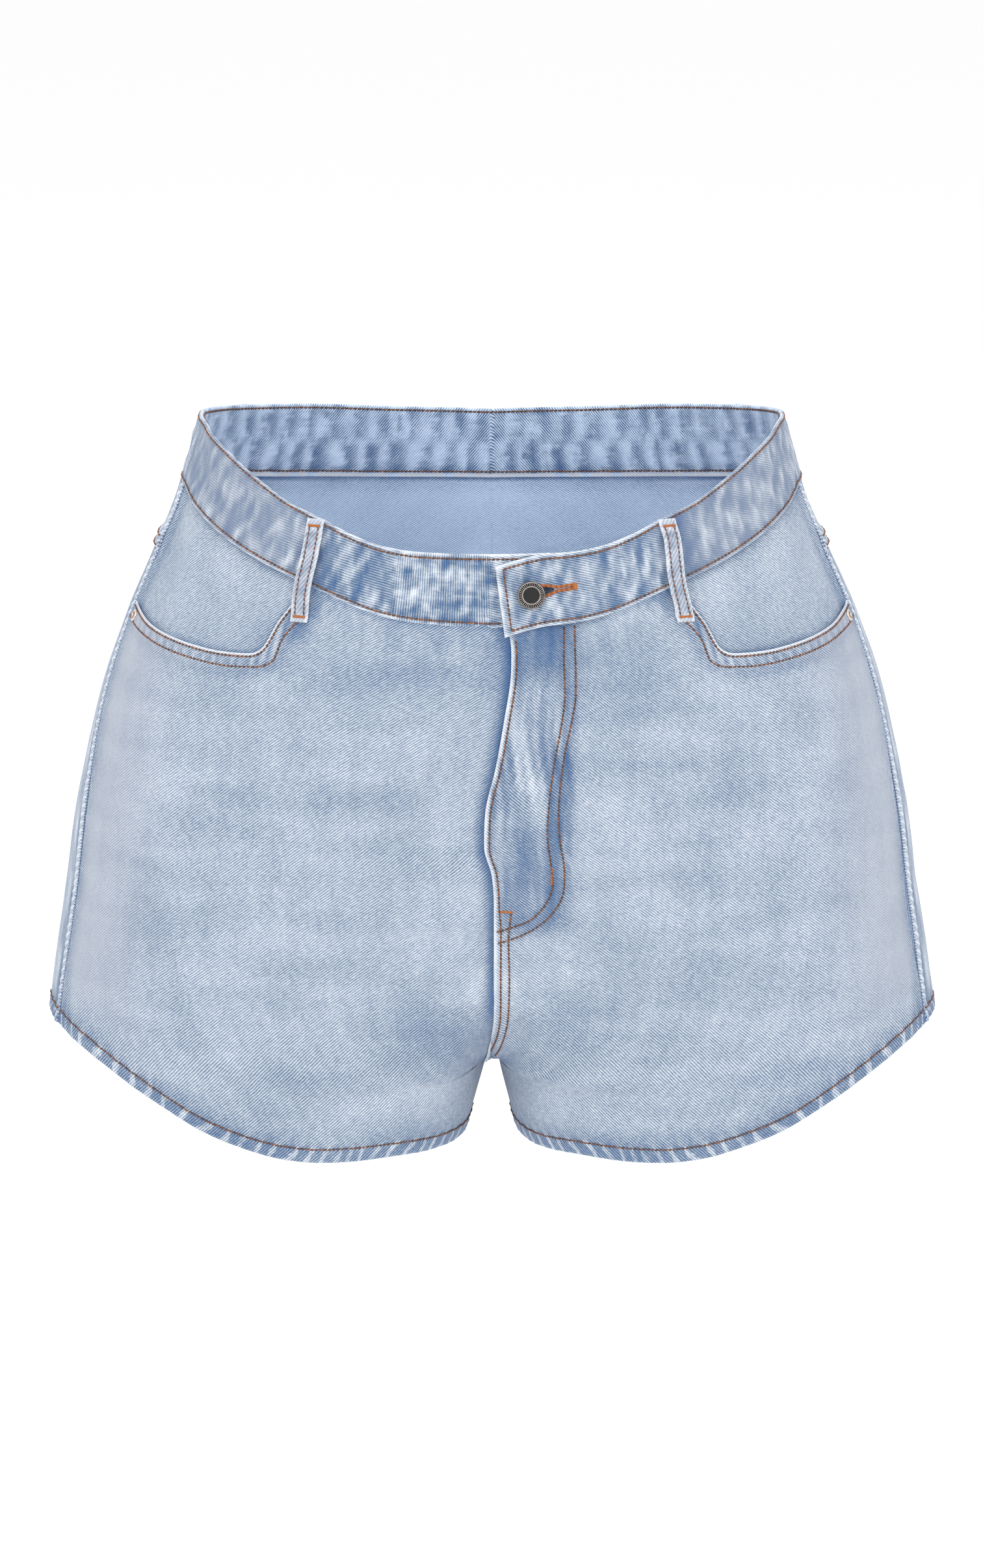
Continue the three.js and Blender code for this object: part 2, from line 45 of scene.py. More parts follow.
body = {
    # height, half width, reach to the front, reach to the back, middle
    "levels": [
        (40, 183, 110, 112, 12), (0, 195.5, 114, 118, 12), (-40, 212, 120, 127, 12),
        (-90, 234.5, 127, 138, 12), (-140, 251.5, 131, 146, 12), (-200, 265.5, 133, 148, 10),
        (-260, 275, 133, 142, 8), (-320, 285.5, 131, 132, 5), (-370, 292, 129, 124, 2),
        (-430, 299, 128, 118, 0),
    ],
    # height, how far the legs' centres have parted, squareness of a leg's inner side
    "parting": [
        (0, 0, 6), (-60, 0.05, 6), (-140, 0.2, 6), (-220, 0.42, 6), (-290, 0.66, 6),
        (-338, 0.82, 3.4), (-354, 0.91, 3), (-362, 0.96, 3), (-367, 1, 3),
    ],
    # height, side seam's angle, cut width of half the front, of half the back
    "cut": [
        (60, 76, 212, 250), (0, 77, 236, 278), (-40, 78, 256, 295), (-90, 77.2, 273, 334),
        (-140, 73.8, 282, 366), (-200, 69.8, 289, 395), (-260, 67.2, 295, 410),
        (-330, 65.2, 313, 424), (-365, 64.6, 342, 452), (-430, 64, 374, 480),
    ],
    "outerPower": 2.3,
    "inseamPower": 4,
    "crotch": -367,
    "legGap": 15,
    "legGapRun": 57,
    "legGapPower": 0.9,
    "legsApart": (-300, -330),
    "legsApartBy": 0.2,
}

edges = {
    "waistTop": [
        (0, -20.5), (0.13, -20), (0.21, -19), (0.29, -16), (0.375, -9.5), (0.437, -3.5),
        (0.49, 1), (0.56, 6.8), (0.627, 14), (0.704, 22), (0.8, 31), (0.892, 37), (1, 42.5),
        (1.12, 41.5), (1.25, 37.5), (1.408, 33), (1.55, 30), (1.75, 25.7), (2, 23),
    ],
    "waistSeam": [
        (0, -65), (0.15, -62.7), (0.22, -60.5), (0.29, -56.3), (0.37, -49.3), (0.46, -41.3),
        (0.627, -27.6), (0.752, -17), (0.871, -7.3), (1, 0.5), (1.12, -1.5), (1.25, -8),
        (1.45, -17), (1.614, -21), (1.767, -23.3), (2, -24.6),
    ],
    "pocketMouth": [
        (0.452, -43.3), (0.47, -51), (0.488, -60), (0.501, -68), (0.507, -75), (0.513, -80),
        (0.53, -84.2), (0.56, -85.6), (0.62, -86), (0.7, -84.8), (0.8, -82.1), (0.867, -79.4),
        (0.936, -75.5), (1, -72.5),
    ],
    "facingFoot": [(0.42, -78), (0.5, -95), (0.62, -101), (0.8, -98), (1, -90)],
    "yokeSeam": [(1, -36), (1.3, -46), (1.6, -66), (2, -90)],
    "hem": [
        (0, -422.5), (0.12, -418.3), (0.217, -414.8), (0.33, -411.8), (0.419, -411.9),
        (0.462, -411.2), (0.523, -407), (0.58, -399.5), (0.638, -390), (0.713, -374.6),
        (0.789, -361.5), (0.873, -351), (0.94, -346), (1, -343.5), (1.07, -345), (1.18, -356),
        (1.3, -374), (1.42, -393), (1.52, -405), (1.62, -412), (1.75, -416.5), (2, -422.5),
    ],
    # height, how far the fly's edge lies past the centre line to the wearer's left
    "flyEdge": [
        (-60, 9), (-80, 12), (-95, 11.6), (-119, 8), (-150, 2.6), (-180, -4), (-201, -4.6),
        (-219, 0), (-241, 1.4), (-313, 1.4), (-330, 0), (-344, -3), (-352, -5.5), (-358, -9),
        (-363, -14), (-366, -12), (-369, 0),
    ],
}


# A smooth curve through a table's rows, flat wherever the values turn back
class Curve:
    def __init__(self, rows, column=1):
        ordered = sorted((row[0], row[column]) for row in rows)
        self.x = np.array([row[0] for row in ordered], float)
        self.y = np.array([row[1] for row in ordered], float)
        rise = np.diff(self.y) / np.diff(self.x)
        steepest = 3 * np.minimum(abs(rise[:-1]), abs(rise[1:]))
        turn = rise[:-1] * rise[1:] <= 0
        inner = np.clip((rise[:-1] + rise[1:]) / 2, -steepest, steepest)
        self.slope = np.concatenate([rise[:1], np.where(turn, 0, inner), rise[-1:]])

    def __call__(self, at):
        at = np.clip(at, self.x[0], self.x[-1])
        i = np.clip(np.searchsorted(self.x, at, side="right") - 1, 0, len(self.x) - 2)
        step = self.x[i + 1] - self.x[i]
        t = (at - self.x[i]) / step
        rest = t * t * (3 - 2 * t)
        ends = (1 - rest) * self.y[i] + rest * self.y[i + 1]
        bend = t * (1 - t) * step * ((1 - t) * self.slope[i] - t * self.slope[i + 1])
        return ends + bend


halfWidth, frontReach, backReach, middle = (Curve(body["levels"], k) for k in (1, 2, 3, 4))
partedBy, innerPower = (Curve(body["parting"], k) for k in (1, 2))
sideAngle, frontWidth, backWidth = (Curve(body["cut"], k) for k in (1, 2, 3))
waistTop, waistSeam, pocketMouth, facingFoot, yokeSeam, hem, flyEdge = (
    Curve(edges[name]) for name in
    ("waistTop", "waistSeam", "pocketMouth", "facingFoot", "yokeSeam", "hem", "flyEdge"))


def ease(t):
    t = np.clip(t, 0, 1)
    return t * t * (3 - 2 * t)


def bell(distance, width):
    return np.exp(-(distance / width) ** 2)


# A leg's level section; angle 0 faces the front, 90 degrees the side and 180 the back
def sectionPoint(z, angle):
    half, parted = halfWidth(z), partedBy(z)
    below = np.maximum(0, (body["crotch"] - z) / body["legGapRun"])
    gap = body["legGap"] * below ** body["legGapPower"]
    centre = np.where(z >= body["crotch"], half * parted / (1 + parted), (half + gap) / 2)
    s, c = np.sin(angle), np.cos(angle)
    power = np.where(s < 0, innerPower(z), body["outerPower"])
    r = (abs(s) ** power + abs(c) ** power) ** (-1 / power)
    depth = np.where(c > 0, frontReach(z) + middle(z), backReach(z) - middle(z))
    x = centre + (half - centre) * s * r
    return np.stack(np.broadcast_arrays(x, middle(z) - depth * c * r, z), -1)


# Angles at equal steps of the way from the side seam to a centre line, level by level
class Arc:
    levelStep = 0.5
    lowest = -434
    steps = 200

    def __init__(self, back):
        z = np.arange(self.lowest, 64, self.levelStep)[:, None]
        parted, power = partedBy(z), innerPower(z)
        first = np.arctan2(-parted, np.maximum(0, 1 - parted ** power) ** (1 / power))
        side = np.radians(sideAngle(z))
        centre = np.pi - first if back else first
        share = np.linspace(0, 1, 2 * self.steps + 1)
        angles = side + (centre - side) * share
        points = sectionPoint(np.broadcast_to(z, angles.shape), angles)
        run = np.cumsum(np.linalg.norm(np.diff(points, axis=1), axis=2), axis=1)
        run = np.concatenate([np.zeros((len(z), 1)), run], axis=1)
        self.totals = run[:, -1]
        even = np.linspace(0, 1, self.steps + 1)
        self.angles = np.array([np.interp(even, r / r[-1], a) for r, a in zip(run, angles)])

    def levelOf(self, z):
        level = np.clip((z - self.lowest) / self.levelStep, 0, len(self.totals) - 1.001)
        below = level.astype(int)
        return below, level - below

    def total(self, z):
        below, t = self.levelOf(z)
        return (1 - t) * self.totals[below] + t * self.totals[below + 1]

    def angle(self, z, distance):
        below, t = self.levelOf(z)
        place = np.clip(distance / self.total(z), 0, 1) * self.steps
        i = np.clip(place.astype(int), 0, self.steps - 1)
        s = place - i
        row = [(1 - s) * self.angles[k, i] + s * self.angles[k, i + 1] for k in (below, below + 1)]
        return (1 - t) * row[0] + t * row[1]


frontArc, backArc = Arc(False), Arc(True)
print("body curves ready")


# Distance from the side seam of a share u, 0 to 2
def fromSide(u, z):
    share = abs(u - 1)
    width = np.where(u > 1, backWidth(z), frontWidth(z))
    total = np.where(u > 1, backArc.total(z), frontArc.total(z))
    return share * width + (total - width) * share ** body["inseamPower"]


# Point and outward normal of the body, at a distance from the side seam
def bodyAt(distance, z, back, side):
    total = np.where(back, backArc.total(z), frontArc.total(z))
    over = distance > total
    distance = np.clip(np.where(over, 2 * total - distance, distance), 0, None)
    side = np.where(over, -side, side)
    angle = np.where(back, backArc.angle(z, distance), frontArc.angle(z, distance))
    point = sectionPoint(z, angle)
    turn, rise = 0.004, 0.5
    across = sectionPoint(z, angle + turn) - sectionPoint(z, angle - turn)
    up = sectionPoint(z + rise, angle) - sectionPoint(z - rise, angle)
    normal = np.cross(across, up)
    normal /= np.linalg.norm(normal, axis=-1, keepdims=True)
    start, end = body["legsApart"]
    point[..., 0] += body["legsApartBy"] * ease((z - start) / (end - start))
    point[..., 0] *= side
    normal[..., 0] *= side
    return point, normal


def clothAt(u, z, shift=0.0):
    u, z, shift = np.broadcast_arrays(np.asarray(u, float), np.asarray(z, float), shift)
    side = np.where(u < 0, -1.0, 1.0)
    share = abs(u)
    side = np.where(share > 2, -side, side)
    share = np.where(share > 2, 4 - share, share)
    return bodyAt(fromSide(share, z) - shift, z, share > 1, side)


# The same for a place x mm to the wearer's left of the centre front
def frontAt(x, z):
    x, z = np.broadcast_arrays(np.asarray(x, float), np.asarray(z, float))
    side = np.where(x < 0, -1.0, 1.0)
    return bodyAt(frontArc.total(z) - abs(x), z, np.zeros(x.shape, bool), side)


# Uneven waves with a chosen length across and along, the same on each run
class Ripple:
    def __init__(self, seed, across, along, count=28):
        draw = np.random.default_rng(seed)
        self.fx = draw.normal(0, 1, count) * 0.75 / across
        self.fz = draw.normal(0, 1, count) * 0.75 / along
        self.phase = draw.uniform(0, 2 * np.pi, count)

    def __call__(self, x, z):
        x, z = np.broadcast_arrays(x, z)
        total = np.zeros(x.shape)
        for fx, fz, phase in zip(self.fx, self.fz, self.phase):
            total += np.sin(2 * np.pi * (fx * x + fz * z) + phase)
        return total / math.sqrt(len(self.fx) / 2)


def spaced(start, end, step):
    return np.linspace(start, end, max(2, round(abs(end - start) / step) + 1))


# Meshes

def toMesh(name, points, faces, uv=None, masks=None):
    mesh = bpy.data.meshes.new(name)
    mesh.from_pydata((np.asarray(points) * 0.001).tolist(), [], faces.tolist())
    if uv is not None:
        corner = np.empty(len(mesh.loops), np.int32)
        mesh.loops.foreach_get("vertex_index", corner)
        layer = mesh.uv_layers.new(name="cloth")
        layer.data.foreach_set("uv", (np.asarray(uv)[corner] * 0.001).ravel().astype(np.float32))
    for key, values in (masks or {}).items():
        attribute = mesh.attributes.new(key, "FLOAT", "POINT")
        attribute.data.foreach_set("value", np.asarray(values, np.float32).ravel())
    mesh.polygons.foreach_set("use_smooth", np.ones(len(mesh.polygons), bool))
    mesh.validate()
    mesh.update()
    piece = bpy.data.objects.new(name, mesh)
    bpy.context.collection.objects.link(piece)
    return piece


def quads(a, b, c, d):
    return np.stack([a, b, c, d], -1).reshape(-1, 4)


# A closed wall of cloth between an outer and an inner grid; a slit opens after its row, at the
# columns of its mask, and elsewhere the two rows there are one
def wallMesh(name, outer, inner, uv, masks, slit=None):
    rows, columns = outer.shape[:2]
    out = np.arange(rows * columns).reshape(rows, columns)
    kept = np.ones((rows - 1, columns - 1), bool)
    if slit:
        after, opened = slit
        out[after + 1] = np.where(opened, out[after + 1], out[after])
        kept[after] = False
    inn = out + rows * columns
    faces = [
        quads(out[:-1, :-1], out[1:, :-1], out[1:, 1:], out[:-1, 1:])[kept.ravel()],
        quads(inn[:-1, :-1], inn[:-1, 1:], inn[1:, 1:], inn[1:, :-1])[kept.ravel()],
        quads(out[:-1, 0], inn[:-1, 0], inn[1:, 0], out[1:, 0]),
        quads(out[:-1, -1], out[1:, -1], inn[1:, -1], inn[:-1, -1]),
        quads(out[0, :-1], out[0, 1:], inn[0, 1:], inn[0, :-1]),
        quads(out[-1, :-1], inn[-1, :-1], inn[-1, 1:], out[-1, 1:]),
    ]
    if slit:
        first, last = np.flatnonzero(opened)[[0, -1]]
        span = slice(first - 1, last + 1), slice(first, last + 2)
        upper, lower = (out[after + k] for k in (0, 1))
        faces += [
            quads(upper[span[0]], upper[span[1]], inn[after][span[1]], inn[after][span[0]]),
            quads(lower[span[0]], inn[after + 1][span[0]], inn[after + 1][span[1]], lower[span[1]]),
        ]
    points = np.concatenate([outer.reshape(-1, 3), inner.reshape(-1, 3)])
    masks = {key: np.concatenate([masks[key].ravel(), masks.get(key + "Inside", masks[key]).ravel()])
             for key in masks if not key.endswith("Inside")}
    masks["inside"] = np.repeat([0.0, 1.0], rows * columns)
    uv = np.concatenate([uv.reshape(-1, 2)] * 2)
    return toMesh(name, points, np.concatenate(faces), uv, masks)


# How much a folded edge rounds in, by the distance from it
def rollOff(distance, thickness):
    radius = thickness * 0.6
    inside = np.clip(radius - np.maximum(0, distance), 0, radius)
    return radius - np.sqrt(radius ** 2 - inside ** 2)


def liftedBy(point, normal, height):
    return point + normal * height[..., None]


# Mesh rows near an edge, in mm from it
edgeSteps = np.array([0, 0.3, 0.8, 1.5, 2.3, 3.2, 4.2, 5.4, 7.0])


def place(piece, nodes, slotName, material):
    piece.data.materials.append(material)
    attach(piece, "root")
    if nodes:
        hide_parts(*nodes)
    return piece


# Materials

class Wire:
    def __init__(self, tree, socket=None):
        self.tree = tree
        self.socket = socket

    def node(self, kind, settings=None, inputs=None, output=0):
        made = self.tree.nodes.new(kind)
        for key, value in (settings or {}).items():
            if key == "stops":
                ramp = made.color_ramp.elements
                while len(ramp) < len(value):
                    ramp.new(0.5)
                for stop, (position, colour) in zip(ramp, value):
                    stop.position = position
                    stop.color = (*colour, 1)
            else:
                setattr(made, key, value)
        for key, value in (inputs or {}).items():
            if isinstance(value, Wire):
                self.tree.links.new(value.socket, made.inputs[key])
            else:
                made.inputs[key].default_value = value
        return Wire(self.tree, made.outputs[output])

    def math(self, operation, first, second):
        return self.node("ShaderNodeMath", {"operation": operation}, {0: first, 1: second})

    def __add__(self, other):
        return self.math("ADD", self, other)

    def __radd__(self, other):
        return self.math("ADD", other, self)

    def __sub__(self, other):
        return self.math("SUBTRACT", self, other)

    def __rsub__(self, other):
        return self.math("SUBTRACT", other, self)

    def __mul__(self, other):
        return self.math("MULTIPLY", self, other)

    def sine(self):
        return self.math("SINE", self, 0)

    def between(self, low, high):
        inputs = {"Value": self, "From Min": low, "From Max": high}
        return self.node("ShaderNodeMapRange", {"interpolation_type": "SMOOTHSTEP"}, inputs)

    def attribute(self, name):
        return self.node("ShaderNodeAttribute", {"attribute_name": name}, output=2)

    def mix(self, first, second):
        settings = {"data_type": "RGBA"}
        first = (*first, 1) if isinstance(first, tuple) else first
        second = (*second, 1) if isinstance(second, tuple) else second
        return self.node("ShaderNodeMix", settings, {0: self, 6: first, 7: second}, 2)


def startMaterial(name):
    material = bpy.data.materials.new(name)
    material.use_nodes = True
    tree = material.node_tree
    return material, Wire(tree), tree.nodes["Principled BSDF"]


def connect(start, shader, **inputs):
    names = {"colour": "Base Color", "roughness": "Roughness", "metallic": "Metallic",
             "normal": "Normal"}
    for key, value in inputs.items():
        if isinstance(value, Wire):
            start.tree.links.new(value.socket, shader.inputs[names[key]])
        else:
            shader.inputs[names[key]].default_value = value


def linear(red, green, blue):
    def one(value):
        value /= 255
        return value / 12.92 if value <= 0.04045 else ((value + 0.055) / 1.055) ** 2.4
    return (one(red), one(green), one(blue))


denim = {
    "waleSpacing": 1.42,     # mm between the twill's ridges
    "waleAngle": 38,         # degrees above the cloth's width
    "threadLength": 3.5,     # mm, how long a thread keeps its tone
    "wander": 0.3,           # mm that the ridges stray
    # how strongly each part of the pattern shows, and how pale the plain wash is
    "wale": 0.22,
    "streak": 0.34,
    "slub": 0.18,
    "cloud": 0.07,
    "fleck": 0.12,
    "wear": 0.5,
    "rope": 0.32,
    "wash": 0.42,
    "indigo": linear(84, 108, 137),
    "worn": linear(223, 229, 237),
    "inside": linear(208, 224, 245),
    "edge": linear(214, 216, 222),
    "deep": linear(48, 88, 146),
    "faded": linear(168, 172, 184),
    "roughness": 0.9,
    "sheen": 0.12,
    "bump": 0.35,
}


# Twill: pale and blue ridges along a slant, broken up thread by thread, over the wash; where
# one of the other masks is 1, the ridges lie at its angle
def twillMaterial(name, angle=denim["waleAngle"], spacing=denim["waleSpacing"],
                  contrast=1.0, tone=0.0, insideToneAndLight=0.37, otherAngles=None):
    material, start, shader = startMaterial(name)
    cloth = start.node("ShaderNodeUVMap", {"uv_map": "cloth"})
    masks = ("wear", "inside", "faded", "rope", "roped")
    wear, inside, faded, rope, roped = (start.attribute(mask) for mask in masks)

    def slanted(degrees, along, across):
        inputs = {"Vector": cloth, "Rotation": (0, 0, math.radians(degrees)),
                  "Scale": (along, across, 1)}
        return start.node("ShaderNodeMapping", {"vector_type": "POINT"}, inputs)

    def noise(where, scale, detail):
        inputs = {"Vector": where, "Scale": scale, "Detail": detail, "Roughness": 0.55}
        return start.node("ShaderNodeTexNoise", None, inputs) - 0.5

    stray = noise(cloth, 260, 1.0) * (4 * math.pi * denim["wander"] / spacing)

    def ridges(degrees):
        height = start.node("ShaderNodeSeparateXYZ", None, {0: slanted(degrees, 1, 1)}, output=1)
        return (height * (2000 * math.pi / spacing) + stray).sine()

    wave = ridges(angle)
    for mask, degrees in (otherAngles or {}).items():
        wave = wave + start.attribute(mask) * (ridges(degrees) - wave)
    streak = noise(slanted(angle, 1000 / denim["threadLength"], 1000 / spacing), 1, 1.0)
    slub = noise(slanted(0, 1, 0.22), 620, 1.0)
    cloud = noise(cloth, 34, 3.0)
    fleck = noise(cloth, 150, 3.0)
    weave = wave * (1 + inside) * (denim["wale"] * contrast)
    weave = weave + streak * (denim["streak"] * contrast) + slub * denim["slub"]
    level = weave * (1 - faded * 0.4) + cloud * denim["cloud"] + fleck * denim["fleck"]
    # inner faces are paler, partly as the twill's back is, partly as painted light on the shaded
    # inside
    level = level + wear * denim["wear"] + (denim["wash"] + tone) + inside * insideToneAndLight
    ropeRidge = (rope * (2 * math.pi)).sine().between(0.15, 0.95)
    level = level + roped * ropeRidge * denim["rope"]
    blue = level.between(-0.45, 0.25).mix(denim["deep"], denim["indigo"])
    worn = inside.mix(denim["worn"], denim["inside"])
    colour = level.between(0.0, 1.0).mix(blue, worn)
    colour = (faded * 0.6).mix(colour, denim["faded"])
    colour = (wear + fleck * 0.5).between(0.75, 1.15).mix(colour, denim["edge"])
    bump = start.node("ShaderNodeBump", None, {
        "Strength": denim["bump"], "Distance": 0.0003,
        "Height": wave * 0.6 + streak * 1.2 + fleck * 0.5})
    connect(start, shader, colour=colour, roughness=denim["roughness"], normal=bump)
    shader.inputs["Sheen Weight"].default_value = denim["sheen"]
    shader.inputs["Sheen Roughness"].default_value = 0.6
    shader.inputs["Specular IOR Level"].default_value = 0.25
    return material


def threadMaterial():
    material, start, shader = startMaterial("topstitch_thread")
    along = start.node("ShaderNodeUVMap", {"uv_map": "cloth"})
    parts = [start.node("ShaderNodeSeparateXYZ", None, {0: along}, output=k) for k in (0, 1)]
    ply = (parts[0] * (2000 * math.pi / 0.9) + parts[1] * (2000 * math.pi)).sine()
    brown, orange = linear(72, 48, 40), linear(188, 108, 42)
    twist = (start.attribute("wear") + ply * 0.3).between(0.1, 1.1)
    connect(start, shader, colour=twist.mix(brown, orange), roughness=0.55)
    shader.inputs["Sheen Weight"].default_value = 0.1
    return material


def metalMaterial(name, base, bright, roughness):
    material, start, shader = startMaterial(name)
    where = start.node("ShaderNodeTexCoord", output=3)
    wear = start.attribute("wear")
    patina = start.node("ShaderNodeTexNoise", None, {"Vector": where, "Scale": 900, "Detail": 3})
    worn = (patina * 0.6 + wear).between(0.2, 0.9)
    matte = 1 - wear.between(-0.9, -0.4)
    connect(start, shader, colour=worn.mix(base, bright), metallic=1 - matte * 0.7,
            roughness=matte * 0.25 + patina * 0.2 + (roughness - 0.1))
    return material


panelDenim = twillMaterial("panel_denim")
bandDenim = twillMaterial("band_denim", angle=14, contrast=0.85, tone=-0.06, insideToneAndLight=0.2,
                          otherAngles={"turn": 88, "behind": 50})
loopDenim = twillMaterial("loop_denim", angle=-55, spacing=1.9, contrast=0.85, tone=0.02)
thread = threadMaterial()
buttonMetal = metalMaterial("button_metal", linear(30, 28, 30), linear(176, 170, 164), 0.28)
rivetMetal = metalMaterial("rivet_metal", linear(150, 118, 98), linear(226, 214, 206), 0.3)
print("materials ready")


# Seam and edge relief, all in mm: each function gives a lift of the outer face and a wear,
# where -1 is deep blue and +1 is rubbed white; in a few places this wear also holds painted shade

panel = {
    "wall": 1.5,
    "step": 2.8,             # mesh spacing
    "frontWidth": 290,       # about the size of half the front, for its mesh and its pattern
    "frontHeight": 350,
    "backWidth": 400,
    "backHeight": 330,
    "yokeWidth": 330,
    "hemDepth": 11,
    "hemWall": 3,
    "hemStitch": 9.5,        # stitch row above the hem's foot
    "hemRope": 9,            # spacing of the hem's slanted ridges
    "hemSlant": 0.8,
    "pocketRows": (2.0, 9.5),
    "mouthStart": 0.452,     # the pocket mouth's inner end, as a share u
    "flyLift": 1.9,
    "flyFoot": -262,         # heights where the fly's rows and the lap below them end
    "lapEnd": -330,
    "flyUnderlap": 6,
    "tuck": 2.5,             # how far a panel's top goes up into the waistband
    "hemFold": 2.4,          # how round the folded edges are
    "mouthFold": 1.8,
    "flyFold": 2.2,
}

# The left front and the waistband's end hang down a little beside the centre line
droop = {"by": 8, "reach": 35}
slowFold = Ripple(3, 130, 170)
fineFold = Ripple(5, 34, 46)
pucker = Ripple(7, 9, 22)
patchy = Ripple(11, 60, 80)
brushed = Ripple(13, 14, 30)
swept = Ripple(15, 110, 20)

# Creases: share u, height, direction in degrees from level, length, width, depth
creases = [
    (0.40, -82, 66, 46, 9, 1.5), (0.36, -76, 48, 36, 8, 1.0), (0.44, -92, 84, 30, 8, 0.9),
    (0.10, -92, 12, 60, 11, 0.8), (0.12, -150, 70, 70, 12, 0.7),
    (0.03, -330, 58, 60, 13, 1.4), (0.06, -350, 38, 70, 12, 1.1), (0.12, -372, 20, 80, 14, 0.9),
    (0.55, -120, 74, 60, 14, 0.8), (0.72, -112, 96, 48, 12, 0.7), (0.9, -140, 82, 90, 16, 0.9),
    (0.86, -250, 86, 110, 20, 0.8), (0.6, -330, 96, 90, 18, 0.8),
    (1.08, -120, 94, 90, 16, 1.0), (1.3, -230, 70, 110, 20, 1.2), (1.6, -300, 48, 120, 20, 1.2),
    (1.75, -330, 34, 120, 18, 1.2), (1.88, -318, 58, 90, 16, 1.0), (1.5, -120, 84, 80, 18, 0.9),
]


def creaseLift(z, across, side):
    lift = np.zeros(np.shape(z))
    for k, (u, height, degrees, length, width, depth) in enumerate(creases):
        uneven = 1 + 0.25 * side * math.sin(2.4 * k + 1)
        centre = u * panel["frontWidth"] + 6 * side * math.sin(1.7 * k)
        dx, dz = across - centre, z - height - 5 * side * math.cos(1.3 * k)
        c, s = math.cos(math.radians(degrees)), math.sin(math.radians(degrees))
        run, off = dx * c - dz * s, dx * s + dz * c
        fade = bell(run, length / 2)
        shape = 0.7 * bell(off - width, width * 0.7) - bell(off, width * 0.6)
        lift += depth * uneven * fade * shape
    return lift


def hemLook(u, z, across):
    up = z - hem(abs(u))
    band = 1 - ease((up - panel["hemStitch"]) / 2.5)
    stray = 0.35 * patchy(across * 0.8, 0) + 0.1 * pucker(across, 0)
    phase = (across + panel["hemSlant"] * up) / panel["hemRope"] + stray
    rope = np.sin(2 * np.pi * phase)
    ridge = ease((rope - 0.25) / 0.75)
    size = 0.95 + 0.2 * brushed(across * 0.5, 0)
    above = bell(np.maximum(0, up - panel["hemStitch"]), 9) * (1 - band)
    lift = band * (0.3 + 0.55 * ridge) + above * 0.25 * rope
    lift -= 0.55 * bell(up - panel["hemStitch"], 1.6)
    wear = -0.5 * band - above * 0.26 + 0.1 * above * rope
    wear += 0.3 * bell(up, 1.4)
    return lift, wear, phase, band * size


# The ridge of the side seam's allowances, pressed to the back and roped
def sideSeamLook(distance, z, isBack):
    phase = z / 5.5 + 0.3 * np.sin(z / 31) + distance * 0.12
    rope = np.sin(2 * np.pi * phase)
    slow = np.sin(z / 9 + 1.5 * np.sin(z / 40))
    if isBack:
        ridge = 1 - ease((distance - 4) / 2)
        lift = ridge * (1.0 + 0.25 * rope) - 0.5 * bell(distance, 0.6)
        wear = 0.18 * ridge - (0.5 + 0.3 * slow) * bell(distance - 9, 4)
        return lift, wear + 0.3 * slow * bell(distance - 17, 6), phase, 0.8 * ridge
    lift = 0.25 * rope * bell(distance, 7) - 0.8 * bell(distance, 1.6)
    wear = -1.25 * bell(distance, 2.6) - 0.25 * bell(distance - 9, 6)
    return lift, wear, phase, np.zeros(np.shape(phase))


# Hem and side seam together: lift, wear, and the phase and strength of their slanted ridges
def edgeLook(u, z, across, distance, isBack):
    hemLift, hemWear, hemPhase, hemRoped = hemLook(u, z, across)
    seamLift, seamWear, seamPhase, seamRoped = sideSeamLook(distance, z, isBack)
    up = z - hem(u)
    top = panel["hemDepth"] + 2
    rope = np.where(up < top, hemPhase, seamPhase)
    roped = np.where(up < top, hemRoped, seamRoped * ease((up - top) / 5))
    return hemLift + seamLift, hemWear + seamWear, rope, roped


def seamPucker(distance, across, reach, size):
    return size * pucker(across, 0) * bell(distance, reach)


def droopAt(across):
    return droop["by"] * np.clip(1 - np.maximum(0, across) / droop["reach"], 0, 1) ** 1.5


def polylineDistance(x, z, line):
    best = np.full(np.shape(x), 1e9)
    for (x0, z0), (x1, z1) in zip(line[:-1], line[1:]):
        dx, dz = x1 - x0, z1 - z0
        t = np.clip(((x - x0) * dx + (z - z0) * dz) / (dx * dx + dz * dz), 0, 1)
        best = np.minimum(best, np.hypot(x - x0 - t * dx, z - z0 - t * dz))
    return best


def onGrain(u, z):
    return u * frontWidth(z)


mouthShares = np.concatenate([np.linspace(panel["mouthStart"], 0.56, 24), np.linspace(0.57, 1, 24)])
mouthLine = list(zip(onGrain(mouthShares, pocketMouth(mouthShares)), pocketMouth(mouthShares)))

# The fly's rows, as distance from the centre line and height
innerFly = [
    (44, -60), (44, -81), (44.7, -105), (41.8, -129), (38.7, -146), (35, -177), (34.3, -193),
    (36.5, -212), (37.8, -225), (34.5, -236), (23.9, -248), (8.4, -254), (3, -255.6),
]
outerFly = [
    (50.3, -60), (51.3, -105), (48.5, -124), (44.6, -143), (41.2, -180), (41.9, -196), (45, -219),
    (43.7, -233), (37.5, -244), (28.3, -252.5), (16.1, -259), (3.8, -263),
]
# The second row of the pocket's mouth, as share u and height
pocketRow = [
    (0.449, -64.1), (0.464, -70), (0.475, -76), (0.479, -84), (0.483, -88.5), (0.503, -92),
    (0.546, -93.6), (0.599, -94.3), (0.666, -93.4), (0.786, -90.5), (0.882, -86.7), (0.998, -82.3),
]
pocketRow = [(float(onGrain(u, z)), z) for u, z in pocketRow]
crotchRow = [(12.2, -243), (10.6, -261), (11.2, -286), (10.7, -312), (8.6, -334), (6, -352)]
